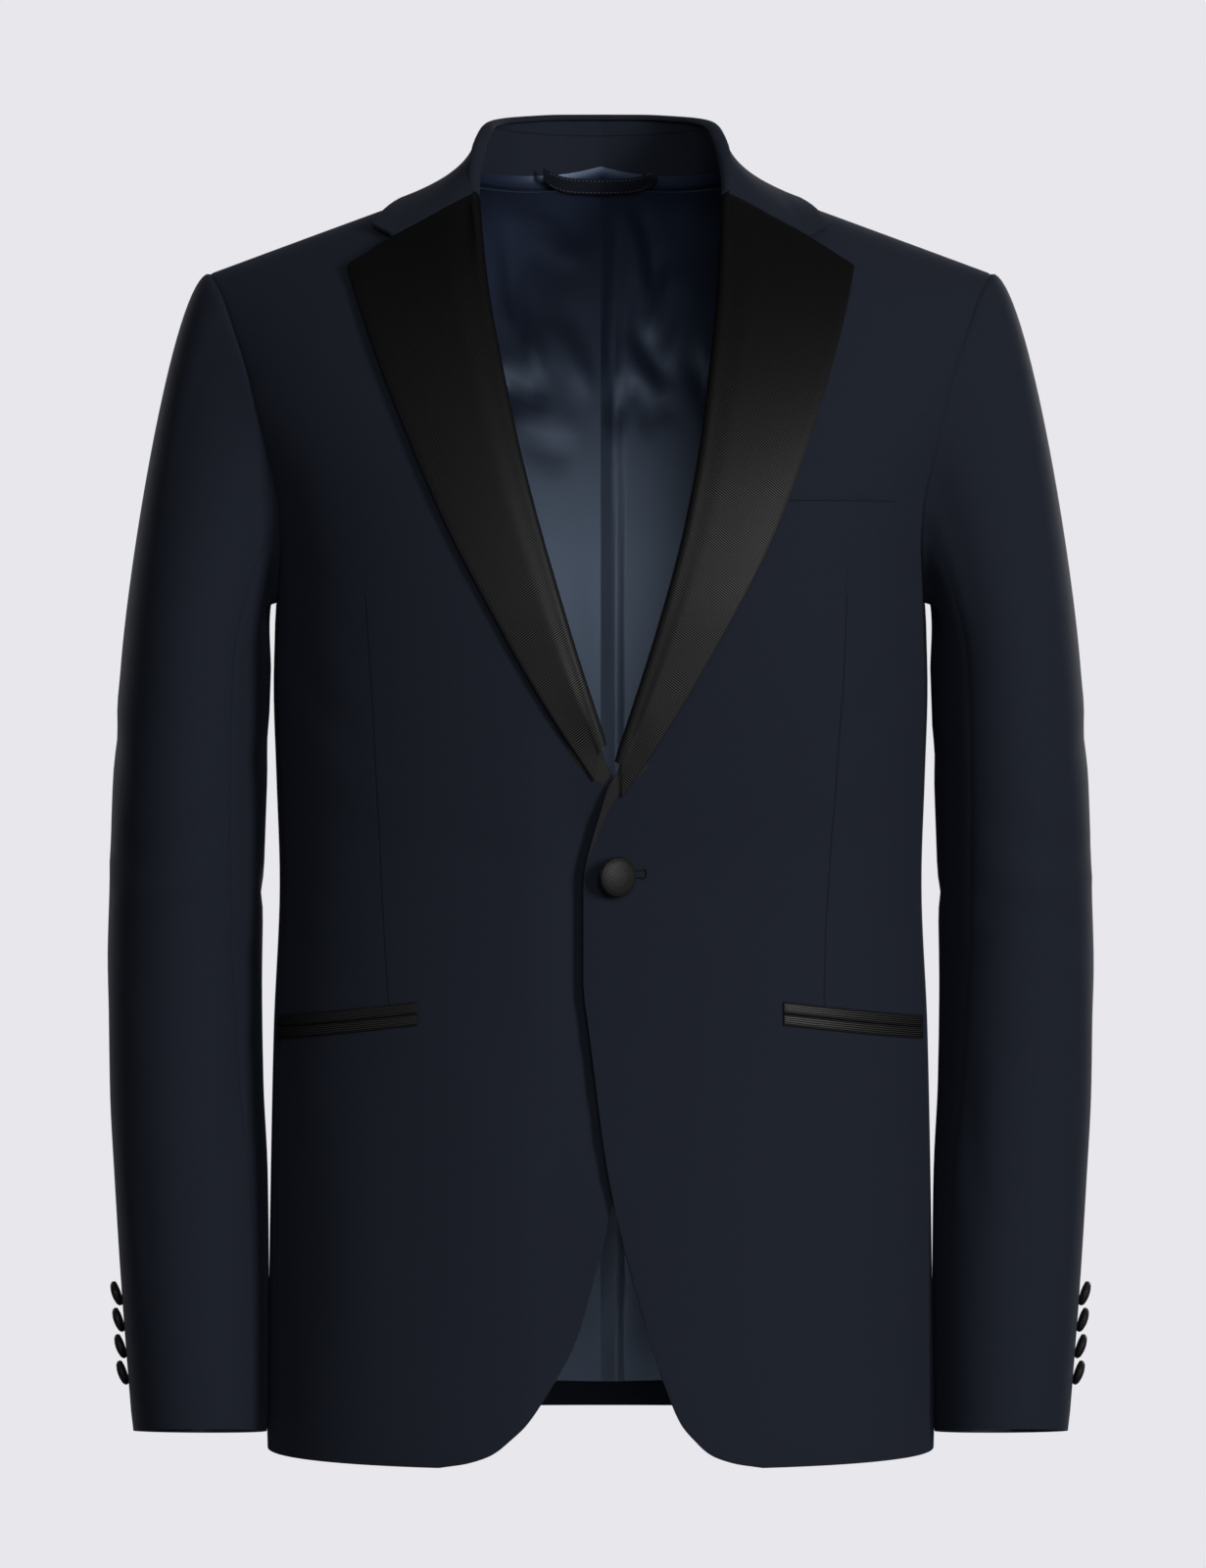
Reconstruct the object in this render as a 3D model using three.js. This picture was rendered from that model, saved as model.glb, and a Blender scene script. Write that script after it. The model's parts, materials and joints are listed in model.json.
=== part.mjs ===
// Tuxedo jacket, filled out as on a wearer who isn't there: open neck, hem and cuffs.
// Millimetres, +Z up. The front faces -Y and the wearer's left is +X.
// The origin is on the centre line at the height of the neck points of the shoulder seams.
import * as THREE from 'three';

// Main sizes of the body
const ARMPIT = -250;            // level of the armhole's lowest point
const HEM_FRONT = -744;         // hem level at the front
const HEM_BACK_RISE = 11;       // the back hem is this much higher
const RING = 2.4;               // exponent of the body's rings: 2 is an ellipse
const FRONT_ARCH = 2;           // exponent of the chest's arch up to the shoulder
const BACK_ARCH = 2.5;          // the upper back is fuller
const NECK_HALF = 75;           // half width of the neck at the shoulder seams
const NECK_DEPTH = 60;          // from the shoulder seams back to the middle of the neck seam
const SHOULDER_SLOPE = 0.37;
const RIDGE_ROUND = 20;         // softens the ridge line at the centre back

// Cloth
const WALL = 2;
const SLEEVE_WALL = 1.8;
const LEAF_WALL = 1.8;          // lapel and collar leaf
const LINING_WALL = 1.1;
const SEAM = 0.3;               // gap at every seam

// Half width and depths of the body at each level
const BODY = [
  { z: 30, half: 285, front: 122, back: 120 },
  { z: -60, half: 263, front: 126, back: 122 },
  { z: -92, half: 239, front: 129, back: 123 },
  { z: -147, half: 218, front: 134, back: 124 },
  { z: -197, half: 197.5, front: 137, back: 123 },
  { z: -250, half: 190.5, front: 137, back: 119 },
  { z: -300, half: 191.5, front: 133, back: 111 },
  { z: -350, half: 190, front: 127, back: 101 },
  { z: -414, half: 188, front: 120, back: 94 },
  { z: -500, half: 191.5, front: 122, back: 102 },
  { z: -600, half: 193.5, front: 128, back: 114 },
  { z: -744, half: 195.5, front: 131, back: 121 },
];

// Armhole seam seen from the front
const ARMHOLE = [
  { z: -57, x: 229 }, { z: -64, x: 225 }, { z: -72, x: 220.5 }, { z: -92, x: 213.5 },
  { z: -116, x: 205.5 }, { z: -147, x: 197.7 }, { z: -178, x: 190 }, { z: -197, x: 186.3 },
  { z: -216, x: 185.5 }, { z: -250, x: 188 },
];

// Front edge and roll line, as the reach of each front's edge from the closing line
const FRONT_EDGE = [
  { z: 0, reach: 71.3 }, { z: -15.5, reach: 70.2 }, { z: -67, reach: 66 }, { z: -91, reach: 63 },
  { z: -127, reach: 57.5 }, { z: -165, reach: 51 }, { z: -212, reach: 40.6 }, { z: -273, reach: 23.5 },
  { z: -323, reach: 7.5 }, { z: -349, reach: -1 }, { z: -365, reach: -5 }, { z: -396, reach: -14 },
  { z: -412, reach: -17 }, { z: -470, reach: -17 }, { z: -495, reach: -14 }, { z: -523, reach: -10.5 },
  { z: -565, reach: -5 }, { z: -590, reach: -0.5 }, { z: -620, reach: 6.6 }, { z: -647, reach: 13.9 },
  { z: -673, reach: 21.5 }, { z: -702, reach: 34.5 }, { z: -719, reach: 44 }, { z: -728.5, reach: 53 },
  { z: -736, reach: 62 }, { z: -741, reach: 75 }, { z: -744, reach: 92 },
];
const BREAK = -349;             // level where the lapels stop rolling
const CLOSING_SHIFT = 7.3;      // the closing line lies this far to the wearer's left at the waist
const FRONT_SEAM_HEM = 72.6;    // degrees round the ring, front to side panel, at the hem
const BACK_SEAM_HEM = 118;      // degrees, side to back panel, at the hem
const BACK_JOIN = 0.04;         // share of the shoulder arch where the side panel ends at the back
const UNDER_PUSH = 4;           // the right front lies this far inside the left one

// Levels of the rows that round the front corner and run up to the armpit
const FRONT_LEVELS = [-744, -741.5, -736.5, -729, -718, -702, -678, -645, -600, -550, -500, -450,
  -405, -365, -347, -324, -300, -275, -250];
const ARCH_ROWS = 8;
const FRONT_COLUMNS = 8;
const SIDE_COLUMNS = 4;
const NECK_COLUMNS = 6;
const BLADE_COLUMNS = 5;
const BACK_LOWER_ROWS = 9;
const SIDE_ROWS = BACK_LOWER_ROWS;
const UNDERARM_DIP = 0.008;     // how far the armhole dips under the arm, in the body's height

// Sleeve rings below the armhole
const SLEEVE = [
  { z: -290, outer: 281.5, inner: 193.8, front: -72, back: 76 },
  { z: -356, outer: 286, inner: 196, front: -70, back: 73 },
  { z: -414, outer: 288, inner: 198, front: -66, back: 72 },
  { z: -471, outer: 289.5, inner: 199, front: -62, back: 68 },
  { z: -529, outer: 288, inner: 198, front: -62, back: 60 },
  { z: -586, outer: 284.5, inner: 197, front: -64, back: 50 },
  { z: -650, outer: 280, inner: 197.5, front: -67, back: 41 },
  { z: -740, outer: 272.5, inner: 198.5, front: -70, back: 32 },
];
const BICEPS = -290;
const CUFF = -734;
const CUFF_SLANT = 0.127;       // the cuff falls towards the back
const SLEEVE_LEVELS = [-290, -330, -375, -420, -465, -510, -560, -615, -675, CUFF];
const HEAD_ROWS = 6;            // rows from the armhole to the biceps ring
const SLEEVE_RING = 2.1;
const TOP_COLUMNS = 12;
const UNDER_COLUMNS = 8;
const HIND_STEPS = 5;           // armhole points from the hind seam up to the shoulder tip
const HIND_SEAM = { biceps: -85, cuff: -25 };     // degrees from the outer side towards the front
const FORE_SEAM = { biceps: 125, cuff: 150 };
const UNDERARM_CLEAR = 0.7;     // the sleeve hangs this far outside the side panel
const HEAD_LIFT = 25;           // degrees that the sleeve head stands up from the shoulder

// Lapels
const ROLL_INNER = 2.5;         // inner radius of the fold round a front's edge
const ROLL_OUTER = ROLL_INNER + LEAF_WALL;
const LAPEL_EDGE = [
  { z: -60, reach: 145 }, { z: -80, reach: 140 }, { z: -109, reach: 131 }, { z: -144, reach: 119 },
  { z: -212, reach: 92 }, { z: -269, reach: 63 }, { z: -308, reach: 41 }, { z: -341, reach: 20.5 },
  { z: -366, reach: 3.5 },
];
const LAPEL_END = { left: { roll: -345, edge: -364 }, right: { roll: -336, edge: -355 } };
const GORGE = [
  { share: 0, x: 71, z: -15.5 }, { share: 0.33, x: 95, z: -30 }, { share: 0.66, x: 119, z: -43 },
];
const LAPEL_TIP = { x: 145, z: -60 };
const COLLAR_TIP = { x: 131.5, z: -35 };
const LEAF_LIFT = 2.8;          // the leaf's inner side stands this far off the front
const LAPEL_ROWS = 14;
const LEAF_COLUMNS = 6;
const ROLL_COLUMNS = 3;
const ROLL_TAIL = 12;           // facing inside the roll

// Collar: the top of its fold and the leaf's outer edge, from centre back to the gorge
const COLLAR = [
  { k: 0, foldX: 0, foldY: 60, foldZ: 43, edgeX: 0, edgeY: 75 },
  { k: 0.2, foldX: 24, foldY: 56, foldZ: 42.5, edgeX: 35, edgeY: 73 },
  { k: 0.4, foldX: 45, foldY: 42, foldZ: 40, edgeX: 66, edgeY: 61 },
  { k: 0.58, foldX: 60, foldY: 20, foldZ: 36, edgeX: 92, edgeY: 39 },
  { k: 0.72, foldX: 66.5, foldY: -2, foldZ: 30.5, edgeX: 110, edgeY: 14 },
  { k: 0.86, foldX: 70, foldY: -23, foldZ: 12, edgeX: 122, edgeY: -14 },
  { k: 1, foldX: 71, foldY: -42, foldZ: -15, edgeX: 131.5, edgeY: -40 },
];
const COLLAR_STEPS = 12;        // steps on each side of the centre back
const COLLAR_LIFT = 2.3;
const STAND_STEPS = 16;
const STAND_REACH = 0.84;       // the stand ends at this share of the collar's way to the gorge
const STAND_ROWS = 3;

// Small parts
const LINING_GAP = 0.6;
const LINING_RISE = 15;         // the lining's lower edge is this far above the hem
const LOOP_GAP = 0.6;
const BUTTON_GAP = 0.4;
const CUFF_BUTTON_GAP = 0.15;
const WELT = { inner: 98, outer: 168.5, top: -174, bottom: -196, rise: 1.5, gap: 0.8, wall: 1.3 };
const JET = {
  inner: 104, outer: 185.5, top: -480.5, tall: 6.4, between: 0.4, fall: 10, gap: 0.75, wall: 1.2,
};
const LOOP = { half: 34, wide: 8, wall: 1.4, ends: 5, dip: -4, bow: 7.5 };
const FRONT_BUTTON = { x: 7.5, z: -409, radius: 11.5, tall: 4.2, shank: 3, stand: 3, turn: 14 };
const CUFF_BUTTON = { radius: 7.5, tall: 3.7, first: -653.5, pitch: 15.3, tilt: 15, angle: -3 };
const BUTTONS_PER_CUFF = 4;

const WOOL = { color: 0x161b26, roughness: 0.85, metalness: 0 };
const GROSGRAIN = { color: 0x141416, roughness: 0.6, metalness: 0 };
const SATIN = { color: 0x262e42, roughness: 0.4, metalness: 0 };

const SIDES = [{ name: 'left', sign: 1 }, { name: 'right', sign: -1 }];
const jacket = new THREE.Group();

const lerp = THREE.MathUtils.lerp;
const radians = THREE.MathUtils.degToRad;
const smooth = THREE.MathUtils.smoothstep;
const vec = (x, y, z) => new THREE.Vector3(x, y, z);
const signedPower = (value, power) => Math.sign(value) * Math.abs(value) ** power;
const steps = (count, make) => Array.from({ length: count + 1 }, (_, i) => make(i / count, i));

// A smooth curve through the rows of a table: one column read by another
function through(rows, by, column) {
  const known = rows.map((row) => ({ at: row[by], value: row[column] })).sort((p, q) => p.at - q.at);
  const secant = known.slice(1).map((row, i) => (row.value - known[i].value) / (row.at - known[i].at));
  const slope = known.map((_, i) => {
    const before = secant[Math.max(0, i - 1)];
    const after = secant[Math.min(secant.length - 1, i)];
    return before * after > 0 ? (2 * before * after) / (before + after) : 0;
  });
  return (at) => {
    let i = known.findIndex((row) => row.at > at) - 1;
    if (i === -2) i = known.length - 2;
    i = Math.max(0, i);
    const width = known[i + 1].at - known[i].at;
    const t = THREE.MathUtils.clamp((at - known[i].at) / width, 0, 1);
    return known[i].value * (2 * t ** 3 - 3 * t ** 2 + 1) + known[i + 1].value * (3 * t ** 2 - 2 * t ** 3)
      + width * (slope[i] * (t ** 3 - 2 * t ** 2 + t) + slope[i + 1] * (t ** 3 - t ** 2));
  };
}

// A cubic between two points, with the directions that it leaves and arrives in
function hermite(start, out, end, into, t) {
  return vec(0, 0, 0)
    .addScaledVector(start, 2 * t ** 3 - 3 * t ** 2 + 1)
    .addScaledVector(out, t ** 3 - 2 * t ** 2 + t)
    .addScaledVector(end, 3 * t ** 2 - 2 * t ** 3)
    .addScaledVector(into, t ** 3 - t ** 2);
}

// The body's form. theta runs round from the centre front; height is -1 at the hem,
// 0 at the armpit and 1 on the shoulder ridge, and past 1 it goes over to the other side.
const bodyHalf = through(BODY, 'z', 'half');
const bodyFront = through(BODY, 'z', 'front');
const bodyBack = through(BODY, 'z', 'back');
const armholeX = through(ARMHOLE, 'z', 'x');
const frontReach = through(FRONT_EDGE, 'z', 'reach');
const lapelReach = through(LAPEL_EDGE, 'z', 'reach');

function ridge(x) {
  const across = Math.sqrt(x * x + RIDGE_ROUND ** 2) - RIDGE_ROUND * Math.exp(-Math.abs(x) / RIDGE_ROUND);
  return SHOULDER_SLOPE * (NECK_HALF - across);
}

const hemLevel = (theta) => HEM_FRONT + HEM_BACK_RISE * smooth(theta, radians(95), radians(170));

function levelAt(x, theta, height, power) {
  if (height < 0) return ARMPIT + height * (ARMPIT - hemLevel(theta));
  return ARMPIT + (ridge(x) - ARMPIT) * Math.abs(Math.sin(height * Math.PI / 2)) ** (2 / power);
}

function body(theta, height) {
  const back = Math.cos(theta) < 0;
  const power = back ? BACK_ARCH : FRONT_ARCH;
  let x = 0;
  let z = ARMPIT;
  for (let pass = 0; pass < 8; pass += 1) {
    z = levelAt(x, theta, height, power);
    x = bodyHalf(z) * signedPower(Math.sin(theta), 2 / RING);
  }
  const depth = back ? bodyBack(z) : bodyFront(z);
  const fall = height > 0 ? signedPower(Math.cos(height * Math.PI / 2), 2 / power) : 1;
  return vec(x, -depth * signedPower(Math.cos(theta), 2 / RING) * fall, z);
}

function bodyNormal(theta, height) {
  const step = 0.004;
  const round = body(theta + step, height).sub(body(theta - step, height));
  const up = body(theta, height + step).sub(body(theta, height - step));
  return round.cross(up).normalize();
}

function thetaAt(x, z, back) {
  const turn = Math.asin(signedPower(Math.min(1, Math.abs(x) / bodyHalf(z)), RING / 2)) * Math.sign(x || 1);
  return back ? Math.PI - turn : turn;
}

// The point of the body's form at x and level z
function bodyAt(x, z, back) {
  const theta = thetaAt(x, z, back);
  const power = back ? BACK_ARCH : FRONT_ARCH;
  let height = (z - ARMPIT) / (ARMPIT - hemLevel(theta));
  if (height > 0) {
    const share = Math.min(1, (z - ARMPIT) / (ridge(x) - ARMPIT));
    height = Math.asin(share ** (power / 2)) / (Math.PI / 2);
  }
  return { p: body(theta, height), n: bodyNormal(theta, height) };
}

// The point of the shoulders straight above a place in the plan
function shoulderAt(x, y) {
  const back = y > 0;
  const power = back ? BACK_ARCH : FRONT_ARCH;
  let z = ridge(x);
  for (let pass = 0; pass < 12; pass += 1) {
    const full = (back ? bodyBack(z) : bodyFront(z)) * (1 - (x / bodyHalf(z)) ** RING) ** (1 / RING);
    z = ARMPIT + (ridge(x) - ARMPIT) * (1 - Math.min(0.99, Math.abs(y) / full) ** power) ** (1 / power);
  }
  return bodyAt(x, z, back);
}

// theta where an edge, given as x at each level, crosses a height
function meet(edge, height, back) {
  let z = ARMPIT;
  for (let pass = 0; pass < 24; pass += 1) {
    const theta = thetaAt(edge(z), z, back);
    z = lerp(z, levelAt(edge(z), theta, height, back ? BACK_ARCH : FRONT_ARCH), 0.6);
  }
  return thetaAt(edge(z), z, back);
}

function seamInset(theta, height) {
  const step = 0.002;
  return (SEAM / 2) * (2 * step) / body(theta + step, height).distanceTo(body(theta - step, height));
}

// Closing line, which the overlap of the fronts pulls to one side
const closing = (z) => CLOSING_SHIFT * smooth(-z, 0, 260) * (1 - smooth(-z, 660, 750));
const frontEdge = (side) => (z) =>
  frontReach(z) + side.sign * closing(z) + ROLL_OUTER * smooth(z, BREAK - 14, BREAK + 4);

function underPush(side, p) {
  if (side.sign > 0) return 0;
  return UNDER_PUSH * smooth(-p.x, -44, -14) * smooth(-p.z, 290, 345);
}

function frontPoint(side, x, z) {
  const found = bodyAt(x, z, false);
  found.p.addScaledVector(found.n, -underPush(side, found.p));
  return found;
}

// Closed cloth walls
function closedWall(outer, inner) {
  const rows = outer.length;
  const columns = outer[0].length;
  const points = [...outer.flat(), ...inner.flat()];
  const faces = [];
  const quad = (a, b, c, d) => faces.push(a, b, c, a, c, d);
  const out = (i, j) => i * columns + j;
  const inn = (i, j) => rows * columns + i * columns + j;
  for (let i = 0; i < rows - 1; i += 1) {
    for (let j = 0; j < columns - 1; j += 1) {
      quad(out(i, j), out(i, j + 1), out(i + 1, j + 1), out(i + 1, j));
      quad(inn(i, j), inn(i + 1, j), inn(i + 1, j + 1), inn(i, j + 1));
    }
    quad(out(i, 0), out(i + 1, 0), inn(i + 1, 0), inn(i, 0));
    quad(out(i, columns - 1), inn(i, columns - 1), inn(i + 1, columns - 1), out(i + 1, columns - 1));
  }
  for (let j = 0; j < columns - 1; j += 1) {
    quad(out(0, j), inn(0, j), inn(0, j + 1), out(0, j + 1));
    quad(out(rows - 1, j), out(rows - 1, j + 1), inn(rows - 1, j + 1), inn(rows - 1, j));
  }
  return { points, faces };
}

function signedVolume(points, faces) {
  let volume = 0;
  for (let i = 0; i < faces.length; i += 3) {
    const [a, b, c] = [points[faces[i]], points[faces[i + 1]], points[faces[i + 2]]];
    volume += a.dot(b.clone().cross(c));
  }
  return volume;
}

function addPiece(name, finish, side, points, faces) {
  const placed = points.map((p) => vec(p.x * side.sign, p.y, p.z));
  const order = signedVolume(placed, faces) < 0 ? [...faces].reverse() : faces;
  const geometry = new THREE.BufferGeometry();
  geometry.setAttribute('position', new THREE.Float32BufferAttribute(placed.flatMap((p) => p.toArray()), 3));
  geometry.setIndex(order);
  geometry.computeVertexNormals();
  const mesh = new THREE.Mesh(geometry, new THREE.MeshStandardMaterial({ ...finish, side: THREE.FrontSide }));
  mesh.name = name;
  jacket.add(mesh);
}

function addWall(name, finish, side, outer, inner) {
  const { points, faces } = closedWall(outer, inner);
  addPiece(name, finish, side, points, faces);
}

const layer = (grid, out) => grid.map((row) => row.map(({ p, n }) => p.clone().addScaledVector(n, out)));
const WEARER_LEFT = SIDES[0];

// Panels of the body, as grids of points with their normals
const frontSeamTop = meet(armholeX, 0, false);
const backSeamTop = meet(armholeX, BACK_JOIN, true);
const frontSeam = (height) => lerp(frontSeamTop, radians(FRONT_SEAM_HEM), -height);

function frontGrid(side) {
  const lower = FRONT_LEVELS.map((z) => (z - ARMPIT) / (ARMPIT - HEM_FRONT));
  const heights = [...lower, ...steps(ARCH_ROWS, (t) => t).slice(1)];
  return heights.map((height) => {
    const start = meet(frontEdge(side), height, false);
    const seam = height > 0 ? meet(armholeX, height, false) : frontSeam(height);
    const end = height > 0 ? seam : seam - seamInset(seam, height);
    return steps(FRONT_COLUMNS, (share) => {
      const theta = lerp(start, end, share);
      const p = body(theta, height);
      const n = bodyNormal(theta, height);
      p.addScaledVector(n, -underPush(side, p));
      if (height === 1) p.y -= SEAM / 2;
      return { p, n };
    });
  });
}

// The side panel's top edge is the bottom of the armhole
const sideTop = (share) => BACK_JOIN * share * share - UNDERARM_DIP * Math.sin(Math.PI * share);

function sideGrid() {
  return steps(SIDE_ROWS, (t) => {
    const start = lerp(radians(FRONT_SEAM_HEM), frontSeamTop, t);
    const end = lerp(radians(BACK_SEAM_HEM), backSeamTop, t);
    return steps(SIDE_COLUMNS, (share, j) => {
      const height = lerp(-1, sideTop(share), t);
      const inset = j === 0 ? 1 : Number(j === SIDE_COLUMNS) * -1;
      const middle = lerp(start, end, share);
      const theta = middle + inset * seamInset(middle, height);
      return { p: body(theta, height), n: bodyNormal(theta, height) };
    });
  });
}

// theta at the neck point of the shoulder seam, kept down the whole back
const neckTheta = Math.PI - meet(() => NECK_HALF, 1, false);

function neckHeight(theta) {
  let height = 1;
  for (let pass = 0; pass < 20; pass += 1) {
    const p = body(theta, Math.min(height, 0.999));
    const seam = NECK_DEPTH * Math.sqrt(Math.max(0, 1 - (p.x / NECK_HALF) ** 2));
    const full = p.y / Math.cos(Math.min(height, 0.999) * Math.PI / 2) ** (2 / BACK_ARCH);
    height = Math.acos(Math.min(1, seam / full) ** (BACK_ARCH / 2)) / (Math.PI / 2);
  }
  return height;
}

// Columns run from the centre back to the neck point, evenly round the neck, and on to the seam
function backColumn(j, seam) {
  if (j > NECK_COLUMNS) return lerp(neckTheta, seam, (j - NECK_COLUMNS) / BLADE_COLUMNS);
  const share = Math.sin((j / NECK_COLUMNS) * Math.PI / 2);
  const reach = Math.sin(Math.PI - neckTheta) ** (2 / RING) * share;
  return Math.PI - Math.asin(reach ** (RING / 2));
}

function backGrid() {
  const lower = steps(BACK_LOWER_ROWS, (t) => lerp(-1, BACK_JOIN, t));
  const upper = steps(ARCH_ROWS, (t) => t).slice(1);
  const rows = [...lower.map((height) => ({ height })), ...upper.map((share) => ({ share }))];
  return rows.map(({ height, share }) => steps(NECK_COLUMNS + BLADE_COLUMNS, (_, j) => {
    const level = share === undefined ? height : lerp(BACK_JOIN, 1, share);
    const down = (BACK_JOIN - level) / (1 + BACK_JOIN);
    const seam = share === undefined
      ? lerp(backSeamTop, radians(BACK_SEAM_HEM), Math.max(0, down))
      : meet(armholeX, level, true);
    let theta = backColumn(j, seam);
    if (j === NECK_COLUMNS + BLADE_COLUMNS && share === undefined) theta += seamInset(seam, level);
    const top = j < NECK_COLUMNS ? neckHeight(theta) : 1;
    const reached = share === undefined ? level : lerp(BACK_JOIN, top, share);
    const p = body(theta, reached);
    const n = bodyNormal(theta, reached);
    if (j === 0) p.x = SEAM / 2;
    if (share === 1 && j >= NECK_COLUMNS) p.y = Math.max(p.y, 0) + SEAM / 2;
    return { p, n };
  }));
}

const fronts = { left: frontGrid(SIDES[0]), right: frontGrid(SIDES[1]) };
const sidePanel = sideGrid();
const backPanel = backGrid();

for (const side of SIDES) {
  const front = fronts[side.name];
  addWall(`front_${side.name}`, WOOL, side, layer(front, 0), layer(front, -WALL));
  addWall(`side_${side.name}`, WOOL, side, layer(sidePanel, 0), layer(sidePanel, -WALL));
  addWall(`back_${side.name}`, WOOL, side, layer(backPanel, 0), layer(backPanel, -WALL));
}

// Sleeves. The armhole's own points are the first row, so the seam keeps its gap all round.
function awayFrom(edge, inside, along) {
  const away = edge.p.clone().sub(inside.p);
  const tangent = along.clone().normalize();
  away.addScaledVector(tangent, -away.dot(tangent));
  away.addScaledVector(edge.n, -away.dot(edge.n));
  return away.normalize();
}

function edgeLoop(side) {
  const front = fronts[side.name];
  const lastColumn = (grid) => grid.map((row) => ({
    edge: row[row.length - 1], inside: row[row.length - 2],
  }));
  const frontEdges = lastColumn(front).slice(FRONT_LEVELS.length - 1).reverse();
  const sideEdges = sidePanel[SIDE_ROWS].map((edge, j) => ({ edge, inside: sidePanel[SIDE_ROWS - 1][j] }));
  const backEdges = lastColumn(backPanel).slice(BACK_LOWER_ROWS);
  const mean = (a, b) => ({
    edge: { p: a.edge.p.clone().lerp(b.edge.p, 0.5), n: a.edge.n.clone().add(b.edge.n).normalize() },
    inside: { p: a.inside.p.clone().lerp(b.inside.p, 0.5) },
  });
  const top = mean(frontEdges[0], backEdges[ARCH_ROWS]);
  const foreFoot = mean(frontEdges[ARCH_ROWS], sideEdges[0]);
  const hindFoot = mean(sideEdges[SIDE_COLUMNS], backEdges[0]);
  const loop = [top, ...frontEdges.slice(1, ARCH_ROWS), foreFoot, ...sideEdges.slice(1, SIDE_COLUMNS),
    hindFoot, ...backEdges.slice(1, ARCH_ROWS)];
  return loop.map(({ edge, inside }, i) => {
    const next = loop[(i + 1) % loop.length].edge.p;
    const last = loop[(i + loop.length - 1) % loop.length].edge.p;
    return { p: edge.p, n: edge.n, away: awayFrom(edge, inside, next.clone().sub(last)) };
  });
}

const sleeveOuter = through(SLEEVE, 'z', 'outer');
const sleeveInner = through(SLEEVE, 'z', 'inner');
const sleeveFront = through(SLEEVE, 'z', 'front');
const sleeveBack = through(SLEEVE, 'z', 'back');

// angle runs from the outer side towards the front
function sleevePoint(angle, z) {
  const across = (sleeveOuter(z) - sleeveInner(z)) / 2;
  const deep = (sleeveBack(z) - sleeveFront(z)) / 2;
  const x = sleeveInner(z) + across + across * signedPower(Math.cos(angle), 2 / SLEEVE_RING);
  const y = sleeveFront(z) + deep - deep * signedPower(Math.sin(angle), 2 / SLEEVE_RING);
  const slant = smooth(-z, 520, -CUFF) * CUFF_SLANT * (y - (sleeveFront(z) + deep));
  return vec(x, y, z - slant);
}

function sleeveNormal(angle, z) {
  const round = sleevePoint(angle + 0.01, z).sub(sleevePoint(angle - 0.01, z));
  const up = sleevePoint(angle, z + 1).sub(sleevePoint(angle, z - 1));
  return up.cross(round).normalize();
}

const seamAngle = (seam, z) => radians(lerp(seam.biceps, seam.cuff, smooth(-z, -BICEPS, -CUFF)));

// One column of a sleeve panel, from the armhole to the cuff
function sleeveColumn(start, angleAt) {
  const fold = radians(lerp(HEAD_LIFT, 90, smooth(-start.p.z, 120, 245)));
  const leave = start.away.clone().multiplyScalar(Math.cos(fold)).addScaledVector(start.n, Math.sin(fold));
  const across = start.n.clone().multiplyScalar(Math.cos(fold)).addScaledVector(start.away, -Math.sin(fold));
  const first = start.p.clone().addScaledVector(start.away, SEAM)
    .addScaledVector(start.n, UNDERARM_CLEAR * Math.sin(fold));
  const end = sleevePoint(angleAt(BICEPS), BICEPS);
  const into = sleevePoint(angleAt(BICEPS), BICEPS - 8).sub(end).normalize();
  const reach = end.distanceTo(first);
  const out = leave.clone().multiplyScalar(lerp(60, 24, smooth(-start.p.z, 60, 245)));
  into.multiplyScalar(reach * lerp(0.8, 0.9, smooth(-start.p.z, 60, 245)));
  const head = steps(HEAD_ROWS, (t) => hermite(first, out, end, into, t)).slice(0, HEAD_ROWS);
  const arm = SLEEVE_LEVELS.map((z) => sleevePoint(angleAt(z), z));
  return { points: [...head, ...arm], across };
}

// Rows of points with normals, from columns that close into a ring
function ringGrid(columns) {
  const rows = columns[0].points.length;
  const count = columns.length;
  return Array.from({ length: rows }, (_, i) => steps(count, (_share, j) => {
    const column = columns[j % count];
    const p = column.points[i];
    if (i === 0) return { p, n: column.across };
    const left = columns[(j + count - 1) % count].points[i];
    const right = columns[(j + 1) % count].points[i];
    const below = column.points[Math.min(rows - 1, i + 1)];
    const n = right.clone().sub(left).cross(below.clone().sub(column.points[i - 1])).normalize();
    return { p, n };
  }));
}

function sleeveGrids(side) {
  const loop = edgeLoop(side);
  const hind = loop.length - HIND_STEPS;
  const hindAngle = (z) => seamAngle(HIND_SEAM, z);
  const foreAngle = (z) => seamAngle(FORE_SEAM, z);
  const columns = loop.map((_, j) => {
    const under = (j - TOP_COLUMNS) / UNDER_COLUMNS;
    const angleAt = (z) => (under < 0
      ? lerp(hindAngle(z), foreAngle(z), j / TOP_COLUMNS)
      : lerp(foreAngle(z), hindAngle(z) + Math.PI * 2, under));
    return sleeveColumn(loop[(hind + j) % loop.length], angleAt);
  });
  const ring = ringGrid(columns);
  return {
    top: ring.map((row) => row.slice(0, TOP_COLUMNS + 1)),
    under: ring.map((row) => row.slice(TOP_COLUMNS)),
  };
}

const towards = (a, b, distance) => b.clone().sub(a).normalize().multiplyScalar(distance);

// Draws a panel's two long edges in, so that its seams keep their gap
function drawIn(grid) {
  return grid.map((row) => row.map(({ p, n }, j) => {
    if (j > 0 && j < row.length - 1) return { p, n };
    const inside = row[j === 0 ? 1 : row.length - 2].p;
    return { p: p.clone().add(towards(p, inside, SEAM / 2)), n };
  }));
}

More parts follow.
